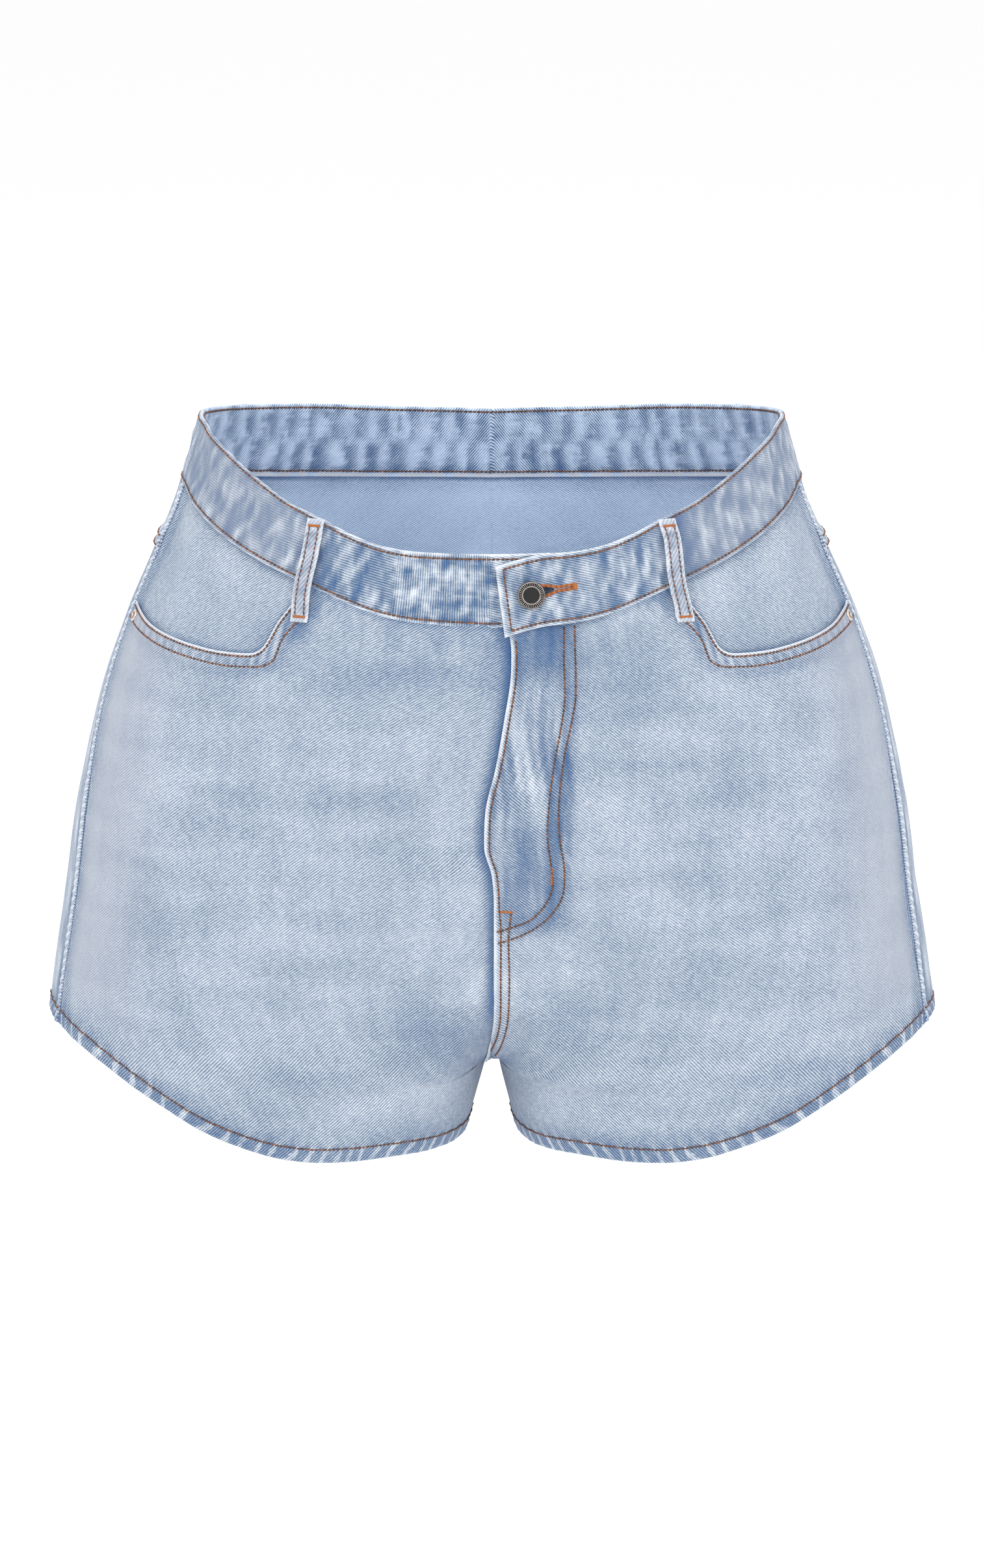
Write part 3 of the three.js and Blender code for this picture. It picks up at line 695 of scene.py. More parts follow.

# Spots of wear: distance from the centre line, width, height z, how tall, wear;
# the last crotch spot is painted shade in the top of the arch between the legs
crotchSpots = [(9, 9, -296, 16, 0.3), (24, 14, -300, 12, 0.15), (9, 13, -364, 6, -0.7)]
flySpots = [
    (26, 18, -82, 16, -0.4), (27, 13, -216, 24, -0.45), (44, 7, -150, 14, -0.4),
    (40, 6, -190, 20, -0.3),
]


def spotWearAndShade(spots, x, z):
    return sum(wear * bell(x - place, width) * bell(z - height, tall)
               for place, width, height, tall, wear in spots)


# How far a front panel's edge lies past the centre line, fading out towards the side
def flyEdgeShift(side, u, z):
    edge = flyEdge(z)
    if side < 0:
        under = panel["flyUnderlap"] * ease((z - panel["flyFoot"]) / 10)
        edge = np.where(z < panel["lapEnd"], 0, -edge) - under
    return edge * np.maximum(0, 1 - u / 0.35)


# The pocket mouth's folded edge and two rows, with waves between them
def mouthLook(side, u, z, grain):
    mouth = polylineDistance(grain, z, mouthLine)
    row = polylineDistance(grain, z, pocketRow)
    first, second = panel["pocketRows"]
    waves = np.sin(2 * np.pi * (grain + 0.25 * z) / 7.2 + 1.4 * patchy(grain, z))
    lift = 0.45 * (1 - ease((mouth - second) / 2)) - 0.35 * bell(mouth - first, 1.1)
    lift += 0.2 * waves * bell(mouth - 5.5, 4.5) - 0.4 * bell(row, 1.1)
    wear = 0.85 * bell(mouth, 1.4) + bell(mouth - 5.6, 2.6) * (0.3 * waves - 0.16)
    wear -= 0.22 * bell(mouth - second - 3, 3.5)
    # the painted shadow beside the belt loop's foot
    wear -= 0.4 * bell(side * (u * 273 - 126.5) - 7, 6) * bell(z + 66, 13)
    return lift, wear


# The left front's folded fly edge, the fly's rows and wash, and the seam's ridge below it
def flyLook(x, z):
    inset = x - flyEdge(z)
    upFly = z - panel["flyFoot"]
    lift = panel["flyLift"] * (1 - ease((x - 20) / 30)) * ease((z - panel["lapEnd"]) / 68)
    lift += 2.2 * ease((-296 - z) / 34) * ease((z + 368.5) / 4) * (1 - ease((x - 4) / 6))
    lift -= 0.35 * bell(inset - 3.4, 1.1)
    wear = 1.05 * bell(inset, 1.9) * (1 - 0.25 * ease(-upFly / 20))
    for line in (innerFly, outerFly):
        away = polylineDistance(x, z, line)
        lift -= 0.3 * bell(away, 1.3)
        wear -= 0.12 * bell(away, 4)
    inFly = (1 - ease((x - 46) / 8)) * ease(upFly / 14)
    sway = 3 * np.sin((z + 150) / 17)
    wear -= 0.28 * inFly
    wear += 0.4 * bell(x - 20 + (z + 140) * 0.14 + sway, 7) * bell(z + 148, 42)
    wear += 0.22 * np.sin(x * 0.9 + sway) * bell(z + 150, 50) * inFly
    wear += 0.14 * pucker(x, z * 0.25) * (1 - ease((x - 48) / 6)) * ease((z + 255) / 20)
    ridge = bell(x - 7, 5) * ease((-240 - z) / 12) * ease((z + 366) / 10)
    return lift + 0.5 * ridge, wear + 0.12 * ridge + spotWearAndShade(flySpots, x, z)


# The right front beside that edge, with painted shade: deep blue where it goes under, and fainter
# near the fly's top
def underFlyLook(x, z):
    hidden = flyEdge(z) + x
    under = np.maximum(0, hidden)
    up = z - panel["lapEnd"]
    lift = -0.3 * bell(under, 9) * ease(up / 40)
    wear = -0.85 * bell(under, 4.5) * ease(up / 30)
    return lift, wear - 0.16 * bell(hidden, 22) * bell(z + 90, 30)


# Outer face of a front panel at a share u of its width
def frontFace(side, u, z):
    shift = flyEdgeShift(side, u, z)
    point, normal = clothAt(side * u, z, shift)
    distance = fromSide(u, z)
    x = frontArc.total(z) - distance + shift
    grain = onGrain(u, z)
    lift = creaseLift(z, grain, side)
    lift += 0.4 * slowFold(grain + 300 * side, z) + 0.08 * fineFold(grain + 90 * side, z)
    lift *= 1 - 0.8 * bell(x, 14) * ease((-285 - z) / 30)
    wear = 0.035 * patchy(grain + 500 * side, z) + 0.03 * brushed(grain * 0.7, z * 0.4)
    wear += 0.035 * swept(grain + 70 * side, z)
    edgeLift, edgeWear, rope, roped = edgeLook(u, z, grain, distance, False)
    mouthLift, mouthWearAndShade = mouthLook(side, u, z, grain)
    flyLift, flyWearAndShade = flyLook(x, z) if side > 0 else underFlyLook(x, z)
    seam = waistSeam(u) - z
    lift += edgeLift + mouthLift + flyLift + seamPucker(seam, grain, 12, 0.35)
    wear += edgeWear + mouthWearAndShade + flyWearAndShade + spotWearAndShade(crotchSpots, x, z)
    wear -= 0.3 * bell(seam, 3) + 0.1 * bell(seam - 8, 10) * pucker(grain, z * 0.4)
    wear -= 0.28 * bell(x, 70) * ease((-270 - z) / 40)
    wear -= 0.12 * bell(z + 90, 30) * bell(grain - 60, 60)
    return point, normal, lift, wear, x, grain, rope, roped


def clothUv(u, z):
    width = np.where(u > 1, backWidth(z), frontWidth(z))
    half = np.where(u > 1, panel["backWidth"], panel["frontWidth"])
    return np.stack([0.5 * (width - half) - fromSide(u, z), z], -1)


# Grids as they are on the wearer's left, or turned round on the right
def facing(side, *grids):
    if side > 0:
        turned = grids
    elif isinstance(grids[0], dict):
        turned = [{key: grid[:, ::-1] for key, grid in grids[0].items()}]
    else:
        turned = [grid[:, ::-1] for grid in grids]
    return turned if len(grids) > 1 else turned[0]


def sewnPanel(kind, side, grids, masks):
    name = kind + ("_left" if side > 0 else "_right")
    piece = wallMesh("denim_" + name, *facing(side, *grids), facing(side, masks))
    return place(piece, [name], "panel_denim", panelDenim)


frontHemSteps = np.array([12, 10.7, 9.5, 8, 6.3, 4.6, 3, 1.6, 0.7, 0.2, 0])
backHemSteps = np.array([11.6, 10.3, 9, 7.5, 6, 4.5, 3, 1.6, 0.7, 0.2, 0])


# The mesh is finer round the pocket's inner corner and the arch between the legs
def frontPanel(side):
    width, tall, step = panel["frontWidth"], panel["frontHeight"], panel["step"]
    fine = 0.45
    columns = np.concatenate([
        edgeSteps / width, np.arange(0.031, fine, step / width),
        np.arange(fine, 0.53, 0.9 / width), np.arange(0.533, 0.975, step / width),
        1 - edgeSteps[::-1] / width])
    heights = np.concatenate([
        edgeSteps / tall, spaced(0.028, 0.82, step / tall), spaced(0.823, 0.877, 0.8 / tall),
        spaced(0.885, 0.955, step / tall), 1 - frontHemSteps / tall])
    u, row = np.meshgrid(np.maximum(columns, 1e-6), heights)
    seamHeight = -65.0
    topShift = flyEdgeShift(side, u, seamHeight)
    top = waistSeam(u + topShift / frontWidth(seamHeight)) + panel["tuck"]
    if side > 0:
        top = top - droopAt(frontArc.total(top) - fromSide(u, top) + topShift)
    inMouth = u > panel["mouthStart"]
    top = np.where(inMouth, np.minimum(top, pocketMouth(u)), top)
    foot = hem(u)
    z = top + (foot - top) * row
    point, normal, lift, wear, x, grain, rope, roped = frontFace(side, u, z)
    thick = np.where(z - foot < panel["hemDepth"], panel["hemWall"], panel["wall"])
    free = np.where(inMouth, polylineDistance(grain, z, mouthLine), 99)
    fold = rollOff(z - foot, panel["hemFold"]) + rollOff(free, panel["mouthFold"])
    if side > 0:
        fold = fold + rollOff(x - flyEdge(z), panel["flyFold"]) * ease((z + 366) / 20)
    outer = liftedBy(point, normal, lift - fold)
    inner = liftedBy(point, normal, lift * 0.8 - thick + np.minimum(fold, thick / 2 - 0.1))
    faded = 0.8 * ease((u - 0.66) / 0.25) * ease((z - foot - 10) / 40)
    faded = faded * ease((fromSide(u, z) - 5) / 7)
    masks = {"wear": wear, "faded": faded, "rope": rope, "roped": roped}
    piece = sewnPanel("front_panel", side, (outer, inner, clothUv(u, z)), masks)


# Outer face of the back, of its yoke and panel alike
def backFace(side, u, z):
    point, normal = clothAt(side * u, z)
    distance = fromSide(u, z)
    lift = creaseLift(z, u * panel["frontWidth"], side)
    lift += 0.45 * slowFold(distance + 700 * side, z) + 0.1 * fineFold(distance + 190 * side, z)
    wear = 0.035 * patchy(distance + 900 * side, z) + 0.03 * brushed(distance * 0.7, z * 0.4)
    wear += 0.035 * swept(distance + 400 * side, z)
    edgeLift, edgeWear, rope, roped = edgeLook(u, z, distance, distance, True)
    up = z - yokeSeam(u)
    waves = pucker(distance, z * 0.3)
    lift += edgeLift + 0.2 * waves * bell(up, 12)
    wear += edgeWear + 0.22 * waves * bell(up, 9) - 0.2 * bell(up + 7, 3)
    centre = backArc.total(z) - distance
    if side > 0:
        felled = 1 - ease((centre - 9) / 2)
        lift += 0.6 * felled * ease((z + 372) / 20)
        wear += felled * (0.2 * waves + 0.1) + 0.7 * bell(centre, 1.2)
    else:
        wear -= 0.6 * bell(centre, 2.5)
    seam = waistSeam(u) - z
    lift += seamPucker(seam, distance, 12, 0.35)
    wear -= 0.25 * bell(seam, 3)
    return point, normal, lift, wear, distance, rope, roped


yoke = {"lap": 4.5, "lift": 1.3, "rows": (3.0, -3.0)}


def backPanel(side):
    width, tall, step = panel["backWidth"], panel["backHeight"], panel["step"]
    columns = np.concatenate([
        1 + edgeSteps / width, spaced(1.02, 1.98, step / width), 2 - edgeSteps[::-1] / width])
    heights = np.concatenate([spaced(0, 0.962, step / tall), 1 - backHemSteps / tall])
    u, row = np.meshgrid(columns, heights)
    foot = hem(u)
    top = yokeSeam(u) + 1.0
    z = top + (foot - top) * row
    point, normal, lift, wear, _, rope, roped = backFace(side, u, z)
    thick = np.where(z - foot < panel["hemDepth"], panel["hemWall"], panel["wall"])
    fold = rollOff(z - foot, panel["hemFold"])
    outer = liftedBy(point, normal, lift - fold)
    inner = liftedBy(point, normal, lift * 0.8 - thick + fold)
    masks = {"wear": wear, "wearInside": np.clip(wear, -0.25, 0.2) * 0.5,
             "rope": rope, "roped": roped, "ropedInside": 0 * roped}
    piece = sewnPanel("back_panel", side, (outer, inner, clothUv(u, z)), masks)


def yokeProud(up):
    return yoke["lift"] * (1 - ease((up - 5) / 3))


def backYoke(side):
    width = panel["yokeWidth"]
    columns = np.concatenate([
        1 + edgeSteps / width, spaced(1.024, 1.976, panel["step"] / width),
        2 - edgeSteps[::-1] / width])
    rows = np.concatenate([spaced(0, 0.8, 0.045), 1 - edgeSteps[::-1] / 40])
    u, row = np.meshgrid(columns, rows)
    top = waistSeam(u) + panel["tuck"]
    foot = yokeSeam(u) - yoke["lap"]
    z = top + (foot - top) * row
    point, normal, lift, wear, distance, rope, roped = backFace(side, u, z)
    up = z - yokeSeam(u)
    seam = waistSeam(u) - z
    proud = yokeProud(up)
    thin = 0.9 * (1 - ease((seam - 5) / 12))
    innerLift = np.where(up < 0.6, 0.08 + lift, (lift + proud) * 0.5 - panel["wall"] + thin)
    outer = liftedBy(point, normal, lift + proud - rollOff(z - foot, 1.3))
    inner = liftedBy(point, normal, innerLift)
    # inside, under the waistband's inner edge: painted shadow, dark at the seam and softer below it
    insideToneAndShadow = 0.1 * patchy(distance, z) - 1.7 * bell(seam - 0.8, 1.6) - 0.35 * bell(seam - 6, 6)
    masks = {"wear": wear + 0.7 * bell(z - foot, 1.2), "wearInside": insideToneAndShadow,
             "rope": rope, "roped": roped, "ropedInside": 0 * roped}
    piece = sewnPanel("back_yoke", side, (outer, inner, clothUv(u, z)), masks)


def pocketFacing(side):
    width = panel["frontWidth"]
    columns = np.concatenate([spaced(0.42, 0.97, 2.4 / width), 1 - edgeSteps[::-1] / width])
    u, row = np.meshgrid(columns, spaced(0, 1, 0.035))
    top = waistSeam(u) + panel["tuck"]
    z = top + (facingFoot(u) - top) * row
    point, normal = clothAt(side * u, z)
    distance = fromSide(u, z)
    grain = onGrain(u, z)
    mouth = polylineDistance(grain, z, mouthLine)
    seam = waistSeam(u) - z
    seamLift, seamWear, *_ = sideSeamLook(distance, z, False)
    wear = 0.06 * patchy(grain + 222 * side, z) + seamWear - 0.08
    # a painted band of light below the waist seam, and painted shadow along the pocket mouth's edge
    wear += 0.12 * bell(seam - 14, 12) - 0.35 * bell(mouth, 2.2) - 0.35 * bell(seam, 2.5)
    lift = 0.35 * slowFold(grain, z + 60 * side) + 0.3 * fineFold(grain, z)
    lift += seamPucker(seam, grain, 9, 0.3)
    # it lies under the front, and comes up to the seam at the side
    rise = ease((distance - 2) / 10)
    sunk = -2.1 * rise - 0.1 * (1 - rise)
    outer = liftedBy(point, normal, sunk + np.minimum(lift, 0.6) + seamLift * (1 - rise))
    inner = outer - normal * panel["wall"]
    piece = sewnPanel("pocket_facing", side, (outer, inner, clothUv(u, z)), {"wear": wear})


for side in (1, -1):
    frontPanel(side)
    pocketFacing(side)
    backYoke(side)
    backPanel(side)
print("panels ready")

band = {
    "wall": 3.0,
    "proud": 1.2,
    "quarter": 250,          # about its length for each 1 of strip
    "around": 990,
    "depth": 45,
    "flatDepth": 44,         # its depth where its edges aren't rolled
    "frontRun": 246,         # half its length, to the side seam and behind it
    "backRun": 286,
    "tabLift": 4.05,
    "tabEnd": (2, 8),        # the top end's distance past the centre line, at its top and foot
    "underlapEnd": 38,
    "liftEnd": 75,
    "topRow": 3.2,           # stitch rows, from the edges
    "footRow": 2.8,
    "innerRow": 4.0,
    "endRow": 5.2,
    # the buttonhole: its eye, the slit's end, and its line's share of the depth at both
    "eye": (23.9, 3.4),
    "slitEnd": 49.2,
    "slitRows": (0.522, 0.486),
    "slitHalf": 0.5,
    "slitReach": 14,         # how far above and below it the mesh parts
}
bandStreak = Ripple(21, 9, 15, 36)
bandDash = Ripple(29, 16, 4, 36)
bandPatch = Ripple(23, 30, 40)
bandDent = Ripple(27, 10, 16, 36)


# The top stitch row, nearer to the edge round the sides and the back
def topRowAt(share):
    return band["topRow"] - 1.4 * ease((share - 0.3) / 0.3)


# Outer face of the waistband; strip runs from 0, the end on top, round the back to 4,
# and row from 0, its top edge, to 1
def bandFace(strip, row):
    onTop = strip < 2
    u = np.where(strip > 2, strip - 4, strip)
    share = abs(u)
    share = np.where(share > 2, 4 - share, share)
    top, foot = waistTop(share), waistSeam(share)
    level = top + (foot - top) * row
    x = np.where(share <= 1, frontArc.total(level) - fromSide(np.minimum(share, 1), level), 300)
    endTop, endFoot = band["tabEnd"]
    near = onTop & (strip < 0.16)
    shift = np.where(near, (endTop + (endFoot - endTop) * row) * (1 - strip / 0.16), 0)
    across = x + shift
    z = np.where(onTop, level - droopAt(across), level)
    under, end = band["underlapEnd"], band["liftEnd"]
    lifted = 1 - ease((across - under - 4) / (end - under))
    lift = band["proud"] + band["tabLift"] * np.where(onTop & (share < 1), lifted, 0)
    point, normal = clothAt(u, z, shift)
    tall = top - foot
    fromTop, fromFoot = row * tall, (1 - row) * tall
    fromEnd = np.where(near, strip * band["quarter"], 99)
    run = band["frontRun"] * np.minimum(share, 1) + band["backRun"] * np.maximum(share - 1, 0)
    run = np.where((strip < 2) | (strip > 4), run, -run)
    softened = ease(fromTop / 6) * ease(fromFoot / 6)
    streak = bandStreak(run, z)
    mottled = (0.26 - 0.08 * ease((share - 1) / 0.1)) * streak * (0.4 + 0.6 * softened)
    wear = mottled + 0.1 * bandPatch(run, z) - 0.1
    wear += 0.14 * bandDash(run, z) * np.where((strip > 3.7) & (run > -60), 1, 0)
    wear -= 0.17 * ease((share - 0.4) / 0.2) * (1 - ease((share - 0.95) / 0.1))
    topEdge = 0.75 - 0.5 * ease((share - 0.35) / 0.3)
    wear += topEdge * bell(fromTop, 1.5) + 0.65 * bell(fromFoot, 1.2) + 0.9 * bell(fromEnd, 2.4)
    # the painted shadow beside the front belt loops
    wear -= 0.5 * (bell(u * 260 - 130, 6) + bell(u * 260 + 110, 6))
    relief = 0.28 * streak * softened + 0.22 * bandDent(run, z) * softened
    grooves = ((fromTop, topRowAt(share)), (fromFoot, band["footRow"]), (fromEnd, band["endRow"]))
    fold = 0
    for distance, stitch in grooves:
        relief -= 0.4 * bell(distance - stitch, 1.0)
        wear -= 0.14 * bell(distance - stitch - 1.6, 1.6)
        fold = fold + rollOff(distance, 2.4)
    return point, normal, lift, relief, np.minimum(fold, 1.45), wear, run, z, share, across


# How far from the centre line the top end's cloth lies, along its middle
def acrossAt(strip):
    return bandFace(np.asarray(strip, float), np.full(np.shape(strip), 0.5))[9]


# Half the buttonhole's opening: a round eye, a widened part and a narrow slit
def slitHalf(across):
    eye, radius = band["eye"]
    end = band["slitEnd"]
    circle = np.sqrt(np.maximum(0, radius ** 2 - (across - eye) ** 2))
    spread = np.clip(4.8 * (1 - (across - eye) / 17.5), 0, 3.2) * (across > eye)
    slit = band["slitHalf"] * ease((end - across) / 1.5) * (across > eye)
    return np.maximum(circle, np.maximum(spread, slit) * (across < end))


def slitLine(across):
    start, end = band["slitRows"]
    eye = band["eye"][0]
    return start + (end - start) * np.clip((across - eye) / (band["slitEnd"] - eye), 0, 1)


# The rows part round the buttonhole
def aroundSlit(strip, row, slitRow):
    across = np.where(strip < 0.3, acrossAt(strip), 200)
    tall = band["flatDepth"]
    away = np.maximum(0, 1 - abs(row - 0.5) * tall / band["slitReach"])
    direction = np.where(np.arange(len(row)) <= slitRow, -1, 1)[:, None]
    window = ease(across / 12) * (1 - ease((across - 54) / 16))
    tilt = (slitLine(across) - 0.5) * (1 - abs(2 * row - 1)) * window
    return row + direction * slitHalf(across) / tall * away + tilt


# Pale columns with deep blue between them, on the band's inner side
def innerBandWear(run, row, z):
    patch, streak, dash = bandPatch(run, z), bandStreak(run, z), bandDash(run, z)
    phase = run / 17 + 0.12 * bandPatch(run, 0) + 0.05 * streak + 0.04 * dash
    low = ease((row - 0.38) / 0.22)
    wear = low * 0.6 * np.cos(2 * np.pi * phase)
    wear += (1 - low) * 0.4 * np.cos(2 * np.pi * (phase + 0.45))
    wear += 0.12 * patch + 0.12 * streak + 0.1 * dash - 0.04
    fromTop, fromFoot = row * band["flatDepth"], (1 - row) * band["flatDepth"]
    wear += 0.3 * bell(fromTop, 1.2) + 1.5 * (1 - ease((fromFoot - 2.2) / 1.2))
    return wear - 0.4 * bell(fromFoot - band["innerRow"] - 2, 2.5)


# Height of the band's inner face over the body
def bandInnerLift(row, lift, relief, fold):
    return lift - relief - band["wall"] + np.where(row > 0.5, 0.4, 1) * fold


def waistband():
    quarter, last = band["quarter"], 4 + band["underlapEnd"] / band["quarter"]
    endSteps = np.array([0, 0.3, 0.8, 1.5, 2.4, 3.6, 5.2, 6.6, 8.2])
    columns = np.concatenate([
        endSteps / quarter, spaced(0.042, 0.066, 0.01), spaced(0.07, 0.2, 0.0028),
        spaced(0.207, last, 4 * 2.5 / band["around"])])
    rowSteps = np.array([0, 0.25, 0.7, 1.4, 2.3, 3.2, 4.2, 5.6])
    half = np.concatenate([rowSteps / band["depth"], spaced(0.165, 0.5, 0.042)])
    slitRow = len(half) - 1
    strip, row = np.meshgrid(columns, np.concatenate([half, 1 - half[::-1]]))
    row = aroundSlit(strip, row, slitRow)
    point, normal, lift, relief, fold, wear, run, z, share, across = bandFace(strip, row)
    outer = liftedBy(point, normal, lift + relief - fold)
    inner = liftedBy(point, normal, bandInnerLift(row, lift, relief, fold))
    turn = ease((-run + 2) / 6) * ease((run + 62) / 8) * ((strip > 3) & (strip < 5))
    behind = ease((share - 0.96) / 0.08)
    uv = np.stack([np.where(share > 1, -abs(run), run), z], -1)
    faded = 0.5 * ease((share - 0.35) / 0.25) * (1 - behind)
    masks = {"wear": wear, "turn": turn, "behind": behind, "faded": faded,
             "wearInside": innerBandWear(run, row, z), "fadedInside": 0 * faded}
    cut = (slitHalf(acrossAt(strip[slitRow])) > 0.01) & (columns < 0.3)
    piece = wallMesh("denim_waistband", outer, inner, uv, masks, (slitRow, cut))
    place(piece, ["waistband"], "band_denim", bandDenim)


waistband()
print("waistband ready")

loops = {
    "width": 11,
    "wall": 2.2,
    "belowSeam": 22,
    "rowInset": 2.7,
    "sway": 0.8,
    # share of the way down, height of the inner face over the body
    "stand": [
        (0, 1.6), (0.07, 1.8), (0.2, 3.3), (0.5, 3.9), (0.66, 3.6), (0.8, 2.6), (0.92, 0.6),
        (1, 0.4),
    ],
    "places": [
        ("belt_loop_front_left", 0.463, 0.447), ("belt_loop_front_right", -0.463, -0.447),
        ("belt_loop_back_left", 1.36, 1.355), ("belt_loop_back_right", -1.36, -1.355),
        ("belt_loop_back_centre", 2, 2),
    ],
}
loopStand = Curve(loops["stand"])
loopTwist = Ripple(31, 12, 14)


# Outer face of a belt loop; edge runs from -1 to 1 across it and t from its top to its foot
def loopFace(top, foot, edge, t):
    middleLine = top + (foot - top) * (0.3 * t + 0.7 * ease(t))
    share = abs(middleLine)
    start = waistTop(share) - 1
    end = waistSeam(share) - loops["belowSeam"]
    z = start + (end - start) * t
    width = np.where(share > 1, backWidth(z), frontWidth(z))
    sway = loops["sway"] * np.sin(2 * np.pi * (1.2 * t + 0.2 * top)) * ease(4 * t)
    along = start - z
    edge = edge * (1 + 0.035 * loopTwist(80 * np.sign(edge) + 40 * top, along * 1.3))
    across = edge * loops["width"] / 2
    point, normal = clothAt(middleLine + sway / width + across / width, z)
    crown = 0.35 * (1 - edge ** 2) + 0.15 * loopTwist(across + 40 * top, along)
    inset = loops["width"] / 2 - abs(across)
    groove = -0.35 * bell(inset - loops["rowInset"], 0.8)
    ends = np.minimum(t, 1 - t) * (start - end)
    lift = loopStand(t) + loops["wall"] + crown + groove
    fold = np.minimum(rollOff(inset, 1.8) + rollOff(ends, 1.8), 1.05)
    wear = 0.75 * bell(inset, 1.4) + 0.5 * bell(ends, 1.8)
    wear += 0.2 * loopTwist(along * 1.6, across) - 0.06
    return point, normal, lift, fold, wear, across, along


def beltLoop(name, top, foot):
    half = loops["width"] / 2
    columns = np.concatenate([
        [0, 0.25, 0.7, 1.3, 2], spaced(2.8, 8.2, 0.9), [9, 9.7, 10.3, 10.75, 11]])
    rows = np.concatenate([
        [0, 0.004, 0.012], spaced(0.025, 0.975, 0.024), [0.988, 0.996, 1]])
    edge, t = np.meshgrid(columns / half - 1, rows)
    point, normal, lift, fold, wear, across, along = loopFace(top, foot, edge, t)
    outer = liftedBy(point, normal, lift - fold)
    inner = liftedBy(point, normal, loopStand(t) + 0.1 + fold)
    uv = np.stack([across, -along], -1)
    masks = {"wear": wear, "faded": np.full(wear.shape, 0.5)}
    piece = wallMesh("denim_" + name, outer, inner, uv, masks)
    place(piece, [name], "loop_denim", loopDenim)


for name, top, foot in loops["places"]:
    beltLoop(name, top, foot)
print("belt loops ready")


# Stitches: short arched threads laid along a row of points on the cloth
stitching = {
    "pitch": 2.8,
    "length": 2.6,
    "radius": 0.6,
    "slant": 0.06,
    "sides": 6,
    "rings": 5,
}


def unit(vectors):
    return vectors / np.linalg.norm(vectors, axis=-1, keepdims=True)


# Distance along a line, at each of its points
def runAlong(line):
    return np.concatenate([[0], np.cumsum(np.linalg.norm(np.diff(line, axis=0), axis=1))])


class Stitches:
    def __init__(self, name):
        self.name = name
        self.points = []
        self.faces = []
        self.uv = []
        self.tone = []
        self.count = 0

    # One thread from start to end, standing on the cloth with its normal
    def add(self, start, end, normal, radius, tone):
        rings, sides = stitching["rings"], stitching["sides"]
        n = len(start)
        t = np.linspace(0, 1, rings)
        arch = np.sin(np.pi * t)
        size = radius * (0.45 + 0.55 * np.sqrt(arch))
        line = start[:, None] + (end - start)[:, None] * t[None, :, None]
        line = line + normal[:, None] * ((arch - 0.35) * radius * 0.9)[None, :, None]
        along = unit(end - start)
        beside = unit(np.cross(normal, along))
        upward = np.cross(along, beside)
        angle = (np.arange(sides) * 2 * np.pi / sides)[None, :, None]
        circle = np.cos(angle) * beside[:, None] + np.sin(angle) * upward[:, None]
        grid = line[:, :, None] + circle[:, None] * size[None, :, None, None]
        index = np.arange(rings * sides).reshape(rings, sides)
        following = np.roll(index, -1, axis=1)
        side = quads(index[:-1], following[:-1], following[1:], index[1:])
        first, last = index[0], index[-1]
        caps = np.array([first[[3, 2, 1, 0]], first[[0, 5, 4, 3]],
                         last[[0, 1, 2, 3]], last[[3, 4, 5, 0]]])
        one = np.concatenate([side, caps])
        offsets = self.count + np.arange(n) * rings * sides
        self.points.append(grid.reshape(-1, 3))
        self.faces.append((one[None] + offsets[:, None, None]).reshape(-1, 4))
        length = np.linalg.norm(end - start, axis=1)
        u = np.broadcast_to(length[:, None, None] * t[None, :, None], (n, rings, sides))
        v = np.broadcast_to(np.arange(sides)[None, None] / sides, (n, rings, sides))
        self.uv.append(np.stack([u, v], -1).reshape(-1, 2))
        self.tone.append(np.repeat(tone, rings * sides))
        self.count += n * rings * sides

    # A row of stitches along a dense line on the cloth
    def row(self, line, normals, tone=0.3, radius=stitching["radius"]):
        run = runAlong(line)
        count = max(1, int(run[-1] / stitching["pitch"]))
        starts = (np.arange(count) + 0.5) * run[-1] / count

        def along(values, at):
            return np.stack([np.interp(at, run, values[:, i]) for i in range(3)], -1)

        start, end = (along(line, starts + k * stitching["length"] / 2) for k in (-1, 1))
        normal = unit(along(normals, starts))
        beside = np.cross(normal, end - start) * stitching["slant"]
        vary = np.sin(np.arange(count) * 2.399 + len(self.points)) * 0.5
        tones = np.clip(tone + 0.35 * (vary + np.sin(starts * 0.21) * 0.35), 0, 1)
        self.add(start - beside, end + beside, normal, radius, tones)

    # A bar of close stitches laid across its length
    def bar(self, start, end, normal, wide=1.7, radius=0.36):
        count = max(4, int(np.linalg.norm(end - start) / 0.62))
        t = (np.arange(count) + 0.5)[:, None] / count
        along = unit(end - start)
        beside = np.cross(normal, along)
        sway = (np.sin(np.arange(count) * 1.9) * 0.12)[:, None] * beside
        middles = start + (end - start) * t + sway
        half = beside * wide / 2 + along * 0.12
        normals = np.repeat(normal[None], count, 0)
        self.add(middles - half, middles + half, normals, radius, np.full(count, 1.0))

    def build(self):
        points, faces, uv, tone = (np.concatenate(parts) for parts in
                                   (self.points, self.faces, self.uv, self.tone))
        place(toMesh(self.name, points, faces, uv, {"wear": tone}), [], "thread", thread)


def raised(point, normal, lift, above=0.12):
    return liftedBy(point, normal, lift + above), normal


def smoothLine(points):
    points = np.array(points, float)
    run = runAlong(points)
    at = spaced(0, run[-1], 1.0)
    x, z = (Curve(list(zip(run, points[:, k]))) for k in (0, 1))
    return x(at), z(at)


def shareAtFront(side, x, z):
    u = np.clip(x / frontWidth(z), 0.0005, 1)
    for _ in range(6):
        got = frontArc.total(z) - fromSide(u, z) + flyEdgeShift(side, u, z)
        u = np.clip(u + (x - got) / frontWidth(z), 0, 1)
    return u


def onFront(side, u, z):
    point, normal, lift, *_ = frontFace(side, u, z)
    return raised(point, normal, lift)


def onBack(side, u, z, proud=0):
    point, normal, lift, *_ = backFace(side, u, z)
    return raised(point, normal, lift + proud)


